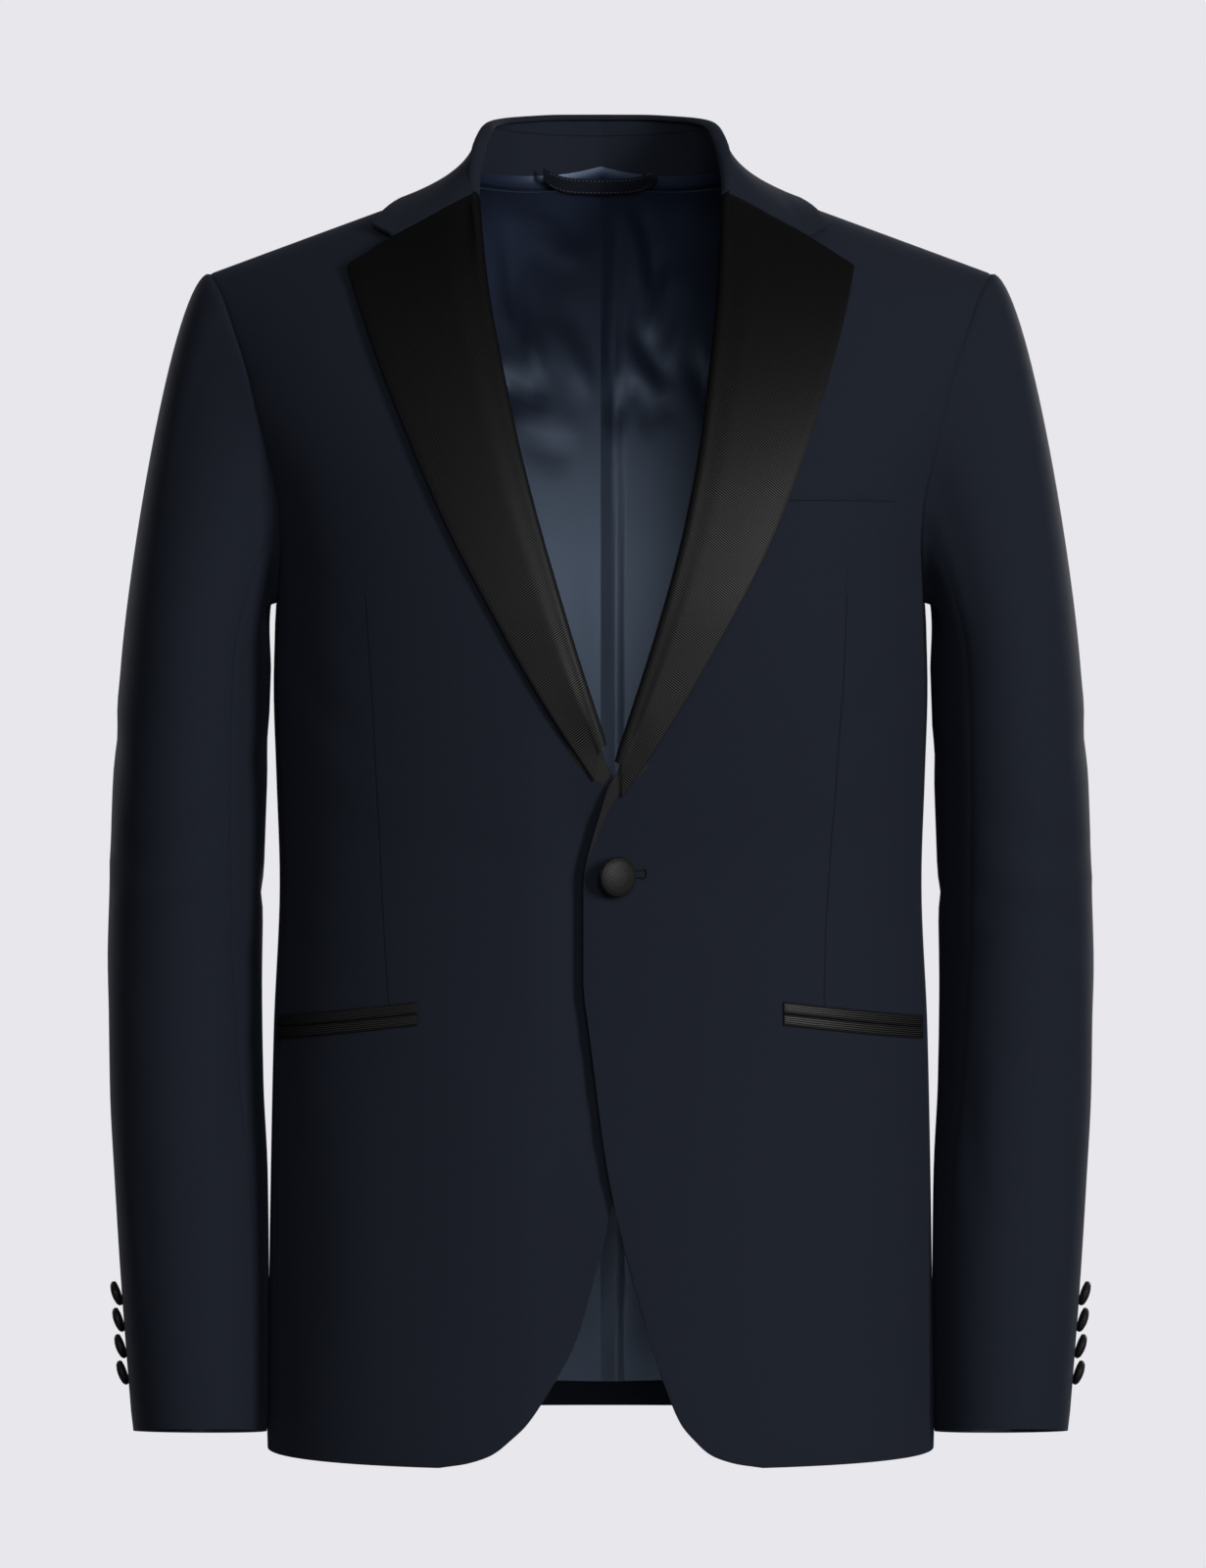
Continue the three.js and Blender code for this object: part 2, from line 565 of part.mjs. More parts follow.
const sleeves = { left: sleeveGrids(SIDES[0]), right: sleeveGrids(SIDES[1]) };
for (const side of SIDES) {
  const { top, under } = sleeves[side.name];
  for (const [name, grid] of [['top_sleeve', drawIn(top)], ['under_sleeve', drawIn(under)]]) {
    addWall(`${name}_${side.name}`, WOOL, side, layer(grid, 0), layer(grid, -SLEEVE_WALL));
  }
}

// A leaf of cloth that rolls round an edge and lies back over the cloth behind it.
// Each station gives the middle of the fold, the direction of its crest, the direction of the
// leaf's outer side, and the leaf's own points for the shares from the fold to its edge.
function rolledLeaf(stations, rollFrom) {
  const ring = (station, angle, radius) => station.centre.clone()
    .addScaledVector(station.crest, radius * Math.sin(angle))
    .addScaledVector(station.outward, radius * Math.cos(angle));
  const outer = stations.map((station, i) => {
    const arc = steps(ROLL_COLUMNS, (t) => ring(station, lerp(rollFrom(i), 0, t), ROLL_OUTER));
    return [...station.tail(ROLL_OUTER), ...arc, ...station.leaf];
  });
  const inner = stations.map((station, i) => {
    const arc = steps(ROLL_COLUMNS, (t) => ring(station, lerp(rollFrom(i), 0, t), ROLL_INNER));
    return [...station.tail(ROLL_INNER), ...arc, ...station.under];
  });
  return { outer, inner };
}

// The gorge: a short line on the front, from the roll to the notch and on to a tip
function gorgePoint(side, share, tip, shift) {
  const rows = [...GORGE, { share: 1, ...tip }];
  const i = Math.min(rows.length - 2, rows.filter((row) => row.share <= share).length - 1);
  const t = (share - rows[i].share) / (rows[i + 1].share - rows[i].share);
  const x = lerp(rows[i].x, rows[i + 1].x, t);
  return frontPoint(side, x, lerp(rows[i].z, rows[i + 1].z, t) + shift);
}

const liftAt = (share) => lerp(ROLL_INNER - WALL / 2, LEAF_LIFT, smooth(share, 0, 0.25));
const leafShares = steps(LEAF_COLUMNS, (t) => t).slice(1);

function lapelStations(side) {
  const end = LAPEL_END[side.name];
  const shift = side.sign;
  return steps(LAPEL_ROWS, (t) => {
    const down = t ** 1.15;
    const rollZ = lerp(GORGE[0].z - SEAM, end.roll, down);
    const edgeZ = lerp(LAPEL_TIP.z, end.edge, down);
    const reach = (z) => frontReach(z) + shift * closing(z) + ROLL_OUTER;
    const roll = frontPoint(side, reach(rollZ), rollZ);
    const next = frontPoint(side, reach(rollZ - 3), rollZ - 3);
    const along = next.p.clone().sub(roll.p).normalize();
    const crest = along.clone().cross(roll.n).normalize();
    if (crest.x > 0) crest.negate();
    const at = (share) => {
      const straight = frontPoint(
        side,
        lerp(reach(rollZ), lapelReach(edgeZ) + shift * closing(edgeZ), share),
        lerp(rollZ, edgeZ, share),
      );
      const top = gorgePoint(side, share, LAPEL_TIP, -SEAM);
      const blend = (1 - smooth(t, 0, 0.2));
      return { p: straight.p.lerp(top.p, blend), n: straight.n.lerp(top.n, blend).normalize() };
    };
    const centre = roll.p.clone().addScaledVector(roll.n, -WALL / 2);
    const raised = (share, more) => {
      const { p, n } = at(share);
      return p.addScaledVector(n, liftAt(share) + more);
    };
    return {
      centre,
      crest,
      outward: roll.n,
      leaf: leafShares.map((share) => raised(share, LEAF_WALL)),
      under: leafShares.map((share) => raised(share, 0)),
      tail: (radius) => [centre.clone().addScaledVector(roll.n, -radius).addScaledVector(crest, -ROLL_TAIL)],
    };
  });
}

for (const side of SIDES) {
  const { outer, inner } = rolledLeaf(lapelStations(side), () => Math.PI);
  addWall(`lapel_${side.name}`, GROSGRAIN, side, outer, inner);
}

// Collar: one leaf round the neck, with the stand inside its fold
const foldX = through(COLLAR, 'k', 'foldX');
const foldY = through(COLLAR, 'k', 'foldY');
const foldZ = through(COLLAR, 'k', 'foldZ');
const edgeX = through(COLLAR, 'k', 'edgeX');
const edgeY = through(COLLAR, 'k', 'edgeY');

const lapelTop = lapelStations(WEARER_LEFT)[0];

function collarStation(k) {
  const fold = vec(foldX(k), foldY(k), foldZ(k));
  const edge = k > 0.985
    ? frontPoint(WEARER_LEFT, COLLAR_TIP.x, COLLAR_TIP.z)
    : shoulderAt(edgeX(k), edgeY(k));
  const step = 0.03;
  const along = vec(foldX(k + step) - foldX(k - step), foldY(k + step) - foldY(k - step), 0);
  const plan = k < step ? vec(0, 1, 0) : vec(-along.y, along.x, 0).normalize();
  const turn = smooth(k, 0.7, 1);
  const crest = vec(0, 0, 1).lerp(lapelTop.crest, turn).normalize();
  const outward = plan.lerp(lapelTop.outward, turn);
  outward.addScaledVector(crest, -outward.dot(crest)).normalize();
  const gorge = lapelTop.centre.clone().addScaledVector(vec(0, 0, 1), SEAM * 2);
  const centre = fold.clone().addScaledVector(crest, -ROLL_OUTER).lerp(gorge, smooth(k, 0.8, 1));
  const start = centre.clone().addScaledVector(outward, ROLL_INNER);
  const landing = edge.p.clone().addScaledVector(edge.n, lerp(COLLAR_LIFT, LEAF_LIFT, smooth(k, 0.8, 1)));
  const span = landing.clone().sub(start);
  const out = crest.clone().multiplyScalar(-span.length() * lerp(1, 0.6, turn));
  const into = span.clone().addScaledVector(edge.n, -span.dot(edge.n)).multiplyScalar(1.1);
  const bend = (1 - smooth(1 - k, 0, 0.24));
  const at = (share) => {
    const free = hermite(start, out, landing, into, share);
    const seam = gorgePoint(WEARER_LEFT, share, COLLAR_TIP, SEAM);
    return free.lerp(seam.p.addScaledVector(seam.n, liftAt(share)), bend);
  };
  return { centre, crest, outward, at };
}

const mirrored = (v) => vec(-v.x, v.y, v.z);
const collarHalf = steps(COLLAR_STEPS, (t) => collarStation(t));
const collarFull = [
  ...collarHalf.slice(1).reverse().map(({ centre, crest, outward, at }) => ({
    centre: mirrored(centre),
    crest: mirrored(crest),
    outward: mirrored(outward),
    at: (share) => mirrored(at(share)),
  })),
  ...collarHalf,
];

function collarStations() {
  const leafRows = collarFull.map((station) => leafShares.map((share) => station.at(share)));
  return collarFull.map((station, i) => {
    const under = leafRows[i];
    const leaf = under.map((p, j) => {
      const before = leafRows[Math.max(0, i - 1)][j];
      const after = leafRows[Math.min(leafRows.length - 1, i + 1)][j];
      const inward = j === 0 ? station.at(0) : under[j - 1];
      const outwards = under[Math.min(under.length - 1, j + 1)];
      const n = after.clone().sub(before).cross(outwards.clone().sub(inward)).normalize();
      if (n.z < 0) n.negate();
      return p.clone().addScaledVector(n, LEAF_WALL);
    });
    return { ...station, leaf, under, tail: () => [] };
  });
}

const collar = rolledLeaf(collarStations(), () => Math.PI * 0.9);
addWall('collar_fall', WOOL, WEARER_LEFT, collar.outer, collar.inner);

// The stand rises from the neck seam into the fold of the leaf, and ends on the fronts' edges
function neckSeam() {
  const top = backPanel[backPanel.length - 1];
  const below = backPanel[backPanel.length - 2];
  const back = steps(NECK_COLUMNS, (_, j) => ({ edge: top[j], inside: below[j] }));
  const front = fronts.left;
  const rows = front.length - 1;
  const points = [...back, { edge: front[rows - 1][0], inside: front[rows - 1][1] }];
  return points.map(({ edge, inside }, i) => {
    const next = points[Math.min(points.length - 1, i + 1)].edge.p;
    const last = points[Math.max(0, i - 1)].edge.p;
    return { p: edge.p, n: edge.n, away: awayFrom(edge, inside, next.clone().sub(last)) };
  });
}

function alongSeam(points, t) {
  const at = t * (points.length - 1);
  const i = Math.min(points.length - 2, Math.floor(at));
  const mix = (key) => points[i][key].clone().lerp(points[i + 1][key], at - i);
  return { p: mix('p'), n: mix('n').normalize(), away: mix('away').normalize() };
}

const neckPoints = neckSeam();
const standHalf = steps(STAND_STEPS, (t) => {
  const { p, n, away } = alongSeam(neckPoints, t);
  const station = collarStation(t * STAND_REACH);
  const foot = p.clone().addScaledVector(away, SEAM);
  const column = (inward, thick) => {
    const low = foot.clone().addScaledVector(n, -inward);
    const high = station.centre.clone().addScaledVector(station.outward, thick);
    const rise = high.distanceTo(low) * 0.5;
    const leave = away.clone().multiplyScalar(rise);
    const arrive = station.crest.clone().multiplyScalar(rise);
    return steps(STAND_ROWS, (share) => hermite(low, leave, high, arrive, share));
  };
  return { outer: column(0, WALL / 2), inner: column(WALL, -WALL / 2) };
});
const standFull = (which) => [
  ...standHalf.slice(1).reverse().map((column) => column[which].map(mirrored)),
  ...standHalf.map((column) => column[which]),
];
addWall('collar_stand', WOOL, WEARER_LEFT, standFull('outer'), standFull('inner'));

// Back lining, made from the back panels' own points, from a little above the hem
const liningFoot = backPanel[0].map(({ p, n }, j) => {
  const above = backPanel[1][j];
  const share = LINING_RISE / (above.p.z - p.z);
  return { p: p.clone().lerp(above.p, share), n: n.clone().lerp(above.n, share).normalize() };
});
const liningRows = [liningFoot, ...backPanel.slice(1)];
for (const side of SIDES) {
  addWall(`lining_back_${side.name}`, SATIN, side,
    layer(liningRows, -WALL - LINING_GAP), layer(liningRows, -WALL - LINING_GAP - LINING_WALL));
}

// Small parts that lie on a front: a strip between two levels, from x to x
function strip(name, finish, side, { inner, outer, levels, gap, wall, count }) {
  const rows = levels.map((level) => steps(count, (t) => {
    const x = lerp(inner, outer, t);
    return frontPoint(side, x, level(t));
  }));
  addWall(name, finish, side, layer(rows, gap + wall), layer(rows, gap));
}

const weltLevel = (base) => (t) => base + WELT.rise * t;
strip('chest_welt', WOOL, WEARER_LEFT, {
  ...WELT, count: 8, levels: [WELT.bottom, (WELT.bottom + WELT.top) / 2, WELT.top].map(weltLevel),
});
const jetLevel = (base) => (t) => base - JET.fall * t;
for (const side of SIDES) {
  const low = JET.top - JET.tall - JET.between;
  strip(`jet_upper_${side.name}`, GROSGRAIN, side, {
    ...JET, count: 8, levels: [JET.top - JET.tall, JET.top].map(jetLevel),
  });
  strip(`jet_lower_${side.name}`, GROSGRAIN, side, {
    ...JET, count: 8, levels: [low - JET.tall, low].map(jetLevel),
  });
}

// Hanger loop: a strip whose ends lie on the lining and whose middle stands clear
function loopPoint(t, across) {
  const x = lerp(-LOOP.half, LOOP.half, t);
  const shape = Math.sin(Math.PI * t) ** 0.7;
  const centreZ = LOOP.ends + LOOP.dip * shape * 2;
  const z = centreZ + across * LOOP.wide / 2;
  const { p, n } = bodyAt(Math.abs(x), Math.min(z, ridge(x) - 12), true);
  const inside = LINING_GAP + LINING_WALL + WALL + LOOP_GAP + LOOP.bow * shape;
  return { p: vec(x, p.y, z).addScaledVector(vec(0, n.y, 0).normalize(), -inside), n: vec(0, 1, 0) };
}
const loopRows = [-1, 1].map((across) => steps(14, (t) => loopPoint(t, across)));
addWall('hanger_loop', WOOL, WEARER_LEFT, layer(loopRows, 0), layer(loopRows, -LOOP.wall));

// Covered buttons: a slightly domed disc with a rounded rim
function buttonProfile(radius, tall) {
  const rim = tall * 0.42;
  return [
    [0, 0], [radius * 0.72, 0], [radius - rim * 0.3, rim * 0.25], [radius, tall * 0.5],
    [radius - rim * 0.35, tall * 0.88], [radius - rim, tall], [0, tall],
  ].map(([x, y]) => new THREE.Vector2(x, y));
}

function addButton(name, profile, around, place, axis) {
  const geometry = new THREE.LatheGeometry(profile, around);
  const mesh = new THREE.Mesh(geometry, new THREE.MeshStandardMaterial(GROSGRAIN));
  mesh.name = name;
  mesh.position.copy(place);
  mesh.quaternion.setFromUnitVectors(vec(0, 1, 0), axis);
  jacket.add(mesh);
}

const seat = frontPoint(WEARER_LEFT, FRONT_BUTTON.x, FRONT_BUTTON.z);
const disc = buttonProfile(FRONT_BUTTON.radius, FRONT_BUTTON.tall)
  .map((p) => new THREE.Vector2(p.x, p.y + FRONT_BUTTON.stand));
const shanked = [new THREE.Vector2(0, 0), new THREE.Vector2(FRONT_BUTTON.shank, 0),
  new THREE.Vector2(FRONT_BUTTON.shank, FRONT_BUTTON.stand), ...disc.slice(1)];
const facing = seat.n.clone().applyAxisAngle(vec(0, 0, 1), radians(FRONT_BUTTON.turn));
addButton('front_button', shanked, 28, seat.p.clone().addScaledVector(seat.n, BUTTON_GAP + 0.6), facing);

const cuffProfile = buttonProfile(CUFF_BUTTON.radius, CUFF_BUTTON.tall);
for (const side of SIDES) {
  for (let i = 0; i < BUTTONS_PER_CUFF; i += 1) {
    const z = CUFF_BUTTON.first - CUFF_BUTTON.pitch * i;
    const angle = radians(CUFF_BUTTON.angle);
    const normal = sleeveNormal(angle, z);
    const tilt = radians(CUFF_BUTTON.tilt);
    const axis = normal.clone().applyAxisAngle(vec(0, 1, 0), tilt);
    const lift = CUFF_BUTTON_GAP + CUFF_BUTTON.radius * 0.85 * Math.sin(tilt);
    const place = sleevePoint(angle, z).addScaledVector(normal, lift);
    const turned = (v) => vec(v.x * side.sign, v.y, v.z);
    addButton(`cuff_button_${side.name}_${i + 1}`, cuffProfile, 12, turned(place), turned(axis));
  }
}

export default jacket;
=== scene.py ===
"""A navy tuxedo jacket with ribbed black silk trim, filled out as on a wearer who isn't there."""

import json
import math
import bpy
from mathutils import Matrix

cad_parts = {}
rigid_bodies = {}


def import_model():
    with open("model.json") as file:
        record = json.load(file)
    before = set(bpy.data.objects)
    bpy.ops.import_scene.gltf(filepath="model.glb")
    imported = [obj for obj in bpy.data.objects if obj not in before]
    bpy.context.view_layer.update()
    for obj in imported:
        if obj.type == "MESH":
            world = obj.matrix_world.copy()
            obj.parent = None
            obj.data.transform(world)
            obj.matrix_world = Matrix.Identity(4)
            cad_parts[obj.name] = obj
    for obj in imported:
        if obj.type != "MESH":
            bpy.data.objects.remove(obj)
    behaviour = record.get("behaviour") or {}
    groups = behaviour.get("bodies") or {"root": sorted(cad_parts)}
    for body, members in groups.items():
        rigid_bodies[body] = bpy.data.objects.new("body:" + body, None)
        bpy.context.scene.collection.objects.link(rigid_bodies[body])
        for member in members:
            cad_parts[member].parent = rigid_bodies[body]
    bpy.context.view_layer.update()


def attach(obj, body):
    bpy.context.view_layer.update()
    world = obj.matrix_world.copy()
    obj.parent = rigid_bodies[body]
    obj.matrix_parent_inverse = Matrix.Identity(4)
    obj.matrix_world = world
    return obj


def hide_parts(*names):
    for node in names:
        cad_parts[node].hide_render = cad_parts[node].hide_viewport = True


bl_info = {
    "name": "Tuxedo jacket",
    "version": (1, 0, 0),
    "blender": (4, 5, 0),
    "location": "3D View > Sidebar > Jacket",
    "description": "Makes the cloth, trim and buttons of a tuxedo jacket round its frame",
    "category": "Object",
}

import bpy
import numpy as np
from mathutils import Matrix, Vector

for left_over in list(bpy.data.objects):
    bpy.data.objects.remove(left_over)
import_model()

MM = 0.001
BODY = "root"
SIDES = (("left", 1), ("right", -1))

# Sizes of the garment, in millimetres, as in its construction
ARMPIT = -250.0
HEM_FRONT = -744.0
HEM_BACK_RISE = 11.0
RING = 2.4
FRONT_ARCH = 2.0
BACK_ARCH = 2.5
NECK_HALF = 75.0
NECK_DEPTH = 60.0
SHOULDER_SLOPE = 0.37
RIDGE_ROUND = 20.0
SEAM = 0.3
WALL = 2.0
SLEEVE_WALL = 1.8
LEAF_WALL = 1.8
LINING_WALL = 1.1
BREAK = -349.0
CLOSING_SHIFT = 7.3
FRONT_SEAM_HEM = math.radians(72.6)
BACK_SEAM_HEM = math.radians(118.0)
BACK_JOIN = 0.04
UNDERARM_DIP = 0.008
UNDER_PUSH = 4.0
BICEPS = -290.0
CUFF = -734.0
CUFF_SLANT = 0.127
SLANT_FROM = -520.0
SLEEVE_RING = 2.1
HIND_SEAM = (-85.0, -25.0)
FORE_SEAM = (125.0, 150.0)
HEAD_LIFT = 25.0
UNDERARM_CLEAR = 0.7
ROLL_INNER = 2.5
ROLL_OUTER = ROLL_INNER + LEAF_WALL
LEAF_LIFT = 2.8
COLLAR_LIFT = 2.3


class Table:
    """A short table whose columns are read as smooth curves of its first column."""

    def __init__(self, columns, rows):
        self.at = np.array([row[0] for row in rows], float)
        order = np.argsort(self.at)
        self.at = self.at[order]
        self.columns = {}
        for i, name in enumerate(columns[1:], start=1):
            value = np.array([row[i] for row in rows], float)[order]
            secant = np.diff(value) / np.diff(self.at)
            before = np.concatenate([secant[:1], secant])
            after = np.concatenate([secant, secant[-1:]])
            both = before * after > 0
            total = np.where(both, before + after, 1.0)
            slope = np.where(both, 2 * before * after / total, 0.0)
            self.columns[name] = (value, slope)

    def read(self, name, at):
        value, slope = self.columns[name]
        at = np.asarray(at, float)
        i = np.clip(np.searchsorted(self.at, at, side="right") - 1, 0, len(self.at) - 2)
        width = self.at[i + 1] - self.at[i]
        t = np.clip((at - self.at[i]) / width, 0, 1)
        return (
            value[i] * (2 * t**3 - 3 * t**2 + 1)
            + value[i + 1] * (3 * t**2 - 2 * t**3)
            + width * (slope[i] * (t**3 - 2 * t**2 + t) + slope[i + 1] * (t**3 - t**2))
        )


BODY_SIZES = Table(("z", "half", "front", "back"), [
    (30, 285, 122, 120),
    (-60, 263, 126, 122),
    (-92, 239, 129, 123),
    (-147, 218, 134, 124),
    (-197, 197.5, 137, 123),
    (-250, 190.5, 137, 119),
    (-300, 191.5, 133, 111),
    (-350, 190, 127, 101),
    (-414, 188, 120, 94),
    (-500, 191.5, 122, 102),
    (-600, 193.5, 128, 114),
    (-744, 195.5, 131, 121),
])
ARMHOLE = Table(("z", "x"), [
    (-57, 229), (-64, 225), (-72, 220.5), (-92, 213.5), (-116, 205.5),
    (-147, 197.7), (-178, 190), (-197, 186.3), (-216, 185.5), (-250, 188),
])
FRONT_EDGE = Table(("z", "reach"), [
    (0, 71.3), (-15.5, 70.2), (-67, 66), (-91, 63), (-127, 57.5), (-165, 51), (-212, 40.6),
    (-273, 23.5), (-323, 7.5), (-349, -1), (-365, -5), (-396, -14), (-412, -17), (-470, -17),
    (-495, -14), (-523, -10.5), (-565, -5), (-590, -0.5), (-620, 6.6), (-647, 13.9), (-673, 21.5),
    (-702, 34.5), (-719, 44), (-728.5, 53), (-736, 62), (-741, 75), (-744, 92),
])
SLEEVE_SIZES = Table(("z", "outer", "inner", "front", "back"), [
    (-290, 281.5, 193.8, -72, 76),
    (-356, 286, 196, -70, 73),
    (-414, 288, 198, -66, 72),
    (-471, 289.5, 199, -62, 68),
    (-529, 288, 198, -62, 60),
    (-586, 284.5, 195, -64, 50),
    (-650, 280, 194, -67, 41),
    (-740, 272.5, 194.5, -70, 32),
])
LAPEL_EDGE = Table(("z", "reach"), [
    (-60, 145), (-80, 140), (-109, 131), (-144, 119), (-212, 92), (-269, 63), (-308, 41),
    (-341, 20.5), (-366, 3.5),
])
LAPEL_END = {"left": (-345.0, -364.0), "right": (-336.0, -355.0)}
GORGE = Table(("share", "x", "z"), [(0, 71, -15.5), (0.33, 95, -30), (0.66, 119, -43)])
LAPEL_TIP = (145.0, -60.0)
COLLAR_TIP = (131.5, -35.0)
COLLAR = Table(("k", "fold_x", "fold_y", "fold_z", "edge_x", "edge_y"), [
    (0, 0, 60, 43, 0, 78.5),
    (0.2, 24, 56, 42.5, 35, 71.5),
    (0.4, 45, 42, 40, 66, 60),
    (0.58, 60, 20, 36, 92, 39),
    (0.72, 66.5, -2, 30.5, 110, 14),
    (0.86, 70, -23, 12, 122, -14),
    (1, 71, -42, -15, 131.5, -40),
])


def smooth(value, low, high):
    t = np.clip((np.asarray(value, float) - low) / (high - low), 0, 1)
    return t * t * (3 - 2 * t)


def signed_power(value, power):
    return np.sign(value) * np.abs(value) ** power


def unit(v):
    return v / np.maximum(np.linalg.norm(v, axis=-1, keepdims=True), 1e-9)


def mix(a, b, t):
    return a + (b - a) * t


def hermite(start, out, end, into, t):
    return (
        start * (2 * t**3 - 3 * t**2 + 1) + out * (t**3 - 2 * t**2 + t)
        + end * (3 * t**2 - 2 * t**3) + into * (t**3 - t**2)
    )


# The body's form: theta runs round from the centre front, and height is -1 at the hem,
# 0 at the armpit and 1 on the shoulder ridge
def ridge(x):
    across = np.sqrt(x * x + RIDGE_ROUND**2) - RIDGE_ROUND * np.exp(-np.abs(x) / RIDGE_ROUND)
    return SHOULDER_SLOPE * (NECK_HALF - across)


def hem_level(theta):
    return HEM_FRONT + HEM_BACK_RISE * smooth(theta, math.radians(95), math.radians(170))


def arch_of(back):
    return np.where(back, BACK_ARCH, FRONT_ARCH)


def level_at(x, theta, height, power):
    low = ARMPIT + height * (ARMPIT - hem_level(theta))
    high = ARMPIT + (ridge(x) - ARMPIT) * np.abs(np.sin(height * math.pi / 2)) ** (2 / power)
    return np.where(height < 0, low, high)


def body(theta, height):
    theta, height = np.broadcast_arrays(np.asarray(theta, float), np.asarray(height, float))
    back = np.cos(theta) < 0
    power = arch_of(back)
    x = np.zeros(theta.shape)
    z = np.full(theta.shape, ARMPIT)
    for _ in range(8):
        z = level_at(x, theta, height, power)
        x = BODY_SIZES.read("half", z) * signed_power(np.sin(theta), 2 / RING)
    depth = np.where(back, BODY_SIZES.read("back", z), BODY_SIZES.read("front", z))
    fall = np.where(height > 0, signed_power(np.cos(height * math.pi / 2), 2 / power), 1.0)
    y = -depth * signed_power(np.cos(theta), 2 / RING) * fall
    return np.stack([x, y, z], axis=-1)


def body_normal(theta, height):
    step = 0.004
    around = body(theta + step, height) - body(theta - step, height)
    up = body(theta, height + step) - body(theta, height - step)
    return unit(np.cross(around, up))


def theta_at(x, z, back):
    share = np.minimum(1, np.abs(x) / BODY_SIZES.read("half", z))
    turn = np.arcsin(share ** (RING / 2)) * np.where(x < 0, -1.0, 1.0)
    return np.where(back, math.pi - turn, turn)


def body_at(x, z, back):
    """Points of the body's form, with their normals, at x and level z."""
    theta = theta_at(x, z, back)
    power = arch_of(back)
    low = (z - ARMPIT) / (ARMPIT - hem_level(theta))
    share = np.clip((z - ARMPIT) / (ridge(x) - ARMPIT), 0, 1)
    high = np.arcsin(share ** (power / 2)) / (math.pi / 2)
    height = np.where(z < ARMPIT, low, high)
    return body(theta, height), body_normal(theta, height)


def meet(edge, height, back):
    z = np.full(np.shape(height), ARMPIT)
    power = arch_of(back)
    for _ in range(24):
        theta = theta_at(edge(z), z, back)
        z = mix(z, level_at(edge(z), theta, height, power), 0.6)
    return theta_at(edge(z), z, back)


def closing(z):
    z = np.asarray(z, float)
    return CLOSING_SHIFT * smooth(-z, 0, 260) * (1 - smooth(-z, 660, 750))


def front_edge(sign):
    def edge(z):
        roll = ROLL_OUTER * smooth(z, BREAK - 14, BREAK + 4)
        return FRONT_EDGE.read("reach", z) + sign * closing(z) + roll
    return edge


def armhole_x(z):
    return ARMHOLE.read("x", z)


def under_push(sign, p):
    if sign > 0:
        return np.zeros(p.shape[:-1])
    return UNDER_PUSH * smooth(-p[..., 0], -44, -14) * smooth(-p[..., 2], 290, 345)


def front_point(sign, x, z):
    p, n = body_at(np.asarray(x, float), np.asarray(z, float), False)
    return p - n * under_push(sign, p)[..., None], n


# How finely the cloth is cut into faces, against the steps of its construction
FINE = 5
FRONT_LEVELS = (-744, -741.5, -736.5, -729, -718, -702, -678, -645, -600, -550, -500, -450,
                -405, -365, -347, -324, -300, -275, -250)
ARCH_ROWS = 8
FRONT_COLUMNS = 8
SIDE_COLUMNS = 4
SIDE_ROWS = 9
NECK_COLUMNS = 6
BLADE_COLUMNS = 5
TOP_COLUMNS = 12
UNDER_COLUMNS = 8
HIND_STEPS = 5
HEAD_ROWS = 6
SLEEVE_LEVELS = (-290, -330, -375, -420, -465, -510, -560, -615, -675, CUFF)


def rows_between(levels, count):
    levels = np.array(levels, float)
    at = np.linspace(0, len(levels) - 1, (len(levels) - 1) * count + 1)
    return np.interp(at, np.arange(len(levels)), levels)


def seam_inset(theta, height):
    step = 0.002
    wide = np.linalg.norm(body(theta + step, height) - body(theta - step, height), axis=-1)
    return (SEAM / 2) * (2 * step) / wide


FRONT_SEAM_TOP = float(meet(armhole_x, 0.0, False))
BACK_SEAM_TOP = float(meet(armhole_x, BACK_JOIN, True))


def front_grid(sign):
    lower = (rows_between(FRONT_LEVELS, FINE) - ARMPIT) / (ARMPIT - HEM_FRONT)
    heights = np.concatenate([lower, np.linspace(0, 1, ARCH_ROWS * FINE + 1)[1:]])
    start = meet(front_edge(sign), heights, False)
    up = meet(armhole_x, np.maximum(heights, 0), False)
    down = mix(FRONT_SEAM_TOP, FRONT_SEAM_HEM, -heights)
    seam = np.where(heights > 0, up, down)
    end = np.where(heights > 0, seam, seam - seam_inset(seam, heights))
    share = np.linspace(0, 1, FRONT_COLUMNS * 7 + 1)
    theta = start[:, None] + (end - start)[:, None] * share
    p, n = body(theta, heights[:, None]), body_normal(theta, heights[:, None])
    p = p - n * under_push(sign, p)[..., None]
    p[-1, :, 1] -= SEAM / 2
    return p, n


def side_grid():
    t = np.linspace(0, 1, SIDE_ROWS * FINE + 1)[:, None]
    share = np.linspace(0, 1, SIDE_COLUMNS * FINE + 1)[None, :]
    top = BACK_JOIN * share * share - UNDERARM_DIP * np.sin(math.pi * share)
    height = mix(-1, top, t)
    fore = mix(FRONT_SEAM_HEM, FRONT_SEAM_TOP, t)
    hind = mix(BACK_SEAM_HEM, BACK_SEAM_TOP, t)
    middle = mix(fore, hind, share)
    inset = np.where(share == 0, 1.0, np.where(share == 1, -1.0, 0.0))
    theta = middle + inset * seam_inset(middle, height)
    return body(theta, height), body_normal(theta, height)


NECK_THETA = math.pi - float(meet(lambda z: NECK_HALF + 0 * z, 1.0, False))


def neck_height(theta):
    height = np.ones(np.shape(theta))
    for _ in range(20):
        near = np.minimum(height, 0.999)
        p = body(theta, near)
        seam = NECK_DEPTH * np.sqrt(np.maximum(0, 1 - (p[..., 0] / NECK_HALF) ** 2))
        full = p[..., 1] / np.cos(near * math.pi / 2) ** (2 / BACK_ARCH)
        height = np.arccos(np.minimum(1, seam / full) ** (BACK_ARCH / 2)) / (math.pi / 2)
    return height


